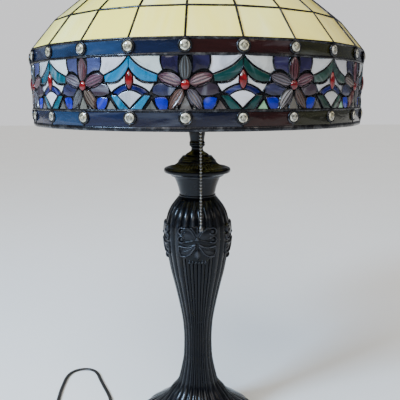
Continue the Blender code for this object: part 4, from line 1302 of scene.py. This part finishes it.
def coil_tie():
    """The tie round the coil's turns, a flat strap."""
    turn = math.radians(75)
    out = Vector((math.cos(turn), math.sin(turn), 0.0))
    middle = Vector((*COIL_CENTRE, 0.0)) + out * COIL_COLUMNS[1]
    loop = [middle + out * x + Vector((0, 0, z)) for x, z in
            ((-0.0092, 0.0006), (0.0092, 0.0006), (0.0096, 0.0020), (0.0096, 0.0062), (0.0088, 0.0090),
             (0.0040, 0.0092), (-0.0040, 0.0070), (-0.0092, 0.0066), (-0.0096, 0.0040), (-0.0096, 0.0018))]
    side = Vector((-out.y, out.x, 0.0))
    band = smooth(loop, 4, closed=True)
    section = [(-0.0025, -0.0003), (0.0025, -0.0003), (0.0025, 0.0003), (-0.0025, 0.0003)]
    points = []
    for k, at in enumerate(band):
        along = (band[(k + 1) % len(band)] - band[k - 1]).normalized()
        up = side.cross(along)
        points += [at + side * x + up * y for x, y in section]
    return piece("coil_tie", points, rings_to_faces(len(band), 4, True), "plastic", "root")


def lead():
    """The flat lead from the foot's grommet to its plug, with its spare length coiled and tied."""
    path = evenly(smooth(CORD_ROUTE + coil_points() + TAIL_ROUTE, 8), 0.0035)
    cord = flex(path)
    others = [moulded_plug(), *blades(), bushing(), coil_tie()]


# Kept CAD nodes --------------------------------------------------------------

KEPT = {"weight_disc": "iron", "base_washer": "steel", "base_nut": "steel", "threaded_tube": "steel",
        "riser_tube": "steel", "inner_lead": "lead", "hub_nut": "bronze", "seat_nut": "brass",
        "shade_spider": "brass"}
KEPT_BY_SIDE = {"switch_body": "plastic", "screw_shell": "brass", "pull_link": "nickel"}


def kept_nodes():
    """The CAD nodes that stay, each with its own look."""
    by_side = {f"{side}_{name}": look for side in SIDES for name, look in KEPT_BY_SIDE.items()}
    for name, look in {**KEPT, **by_side}.items():
        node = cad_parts[name]
        node.data.materials.clear()
        node.data.materials.append(LOOKS[look])


# The stage -------------------------------------------------------------------

def camera():
    """The camera that was fitted to the photograph's jewel columns."""
    data = bpy.data.cameras.new("camera")
    data.lens, data.sensor_width = 46.6, 36.0
    data.clip_start, data.clip_end = 0.02, 60.0
    made = add("camera", data)
    made.location = (0.0035, -0.6770, 0.4550)
    level = Matrix.Rotation(math.radians(90 - 10.93), 4, "X")
    roll = Matrix.Rotation(math.radians(-0.17), 4, "Z")
    made.rotation_euler = (level @ roll).to_euler()
    bpy.context.scene.camera = made


def light(name, place, target, size, power, colour):
    data = bpy.data.lights.new(name, "AREA")
    data.shape, data.size, data.energy, data.color = "SQUARE", size, power, colour
    made = add(name, data)
    made.location = place
    made.rotation_euler = (Vector(target) - Vector(place)).to_track_quat("-Z", "Y").to_euler()


def sun(name, rotation, strength, angle, colour):
    data = bpy.data.lights.new(name, "SUN")
    data.energy, data.angle, data.color = strength, angle, colour
    add(name, data).rotation_euler = rotation


def stage():
    """The floor, the world and the lights. The camera sees a paler world than the one that lights."""
    look = Look("floor", (0.86, 0.86, 0.86), 0.85)
    look.vary(Base_Color=look.ramp(look.noise(3.0, 3.0), (0.3, 0.85), (0.7, 0.87)))
    mesh = bpy.data.meshes.new("floor")
    corners = [(-9, -9), (9, -9), (9, 9), (-9, 9)]
    mesh.from_pydata([(x, y, -0.0004) for x, y in corners], [], [(0, 1, 2, 3)])
    mesh.materials.append(look.material)
    add("floor", mesh)
    world = bpy.data.worlds.new("world")
    world.use_nodes = True
    nodes, links = world.node_tree.nodes, world.node_tree.links
    lit = nodes["Background"]
    lit.inputs["Color"].default_value = (0.80, 0.84, 0.92, 1.0)
    lit.inputs["Strength"].default_value = 0.26
    seen = nodes.new("ShaderNodeBackground")
    seen.inputs["Color"].default_value = (0.86, 0.86, 0.88, 1.0)
    seen.inputs["Strength"].default_value = 1.12
    choice = nodes.new("ShaderNodeMixShader")
    links.new(nodes.new("ShaderNodeLightPath").outputs["Is Camera Ray"], choice.inputs["Fac"])
    links.new(lit.outputs["Background"], choice.inputs[1])
    links.new(seen.outputs["Background"], choice.inputs[2])
    links.new(choice.outputs["Shader"], nodes["World Output"].inputs["Surface"])
    bpy.context.scene.world = world
    light("key", (-1.35, -0.95, 1.35), (0.0, 0.0, 0.33), 0.42, 62.0, (0.46, 0.70, 1.0))
    light("fill", (1.40, -1.10, 1.50), (0.0, 0.0, 0.40), 0.8, 7.0, (1.0, 0.84, 0.66))
    sun("sky", (math.radians(38), math.radians(-22), 0.0), 3.5, math.radians(60), (1.0, 0.97, 0.90))


camera()
lead()
frieze()
borders()
band_seams()
jewels()
rim()
dome()
casting()
medallions()
neck()
foot_felt()
fittings()
sockets()
kept_nodes()
stage()
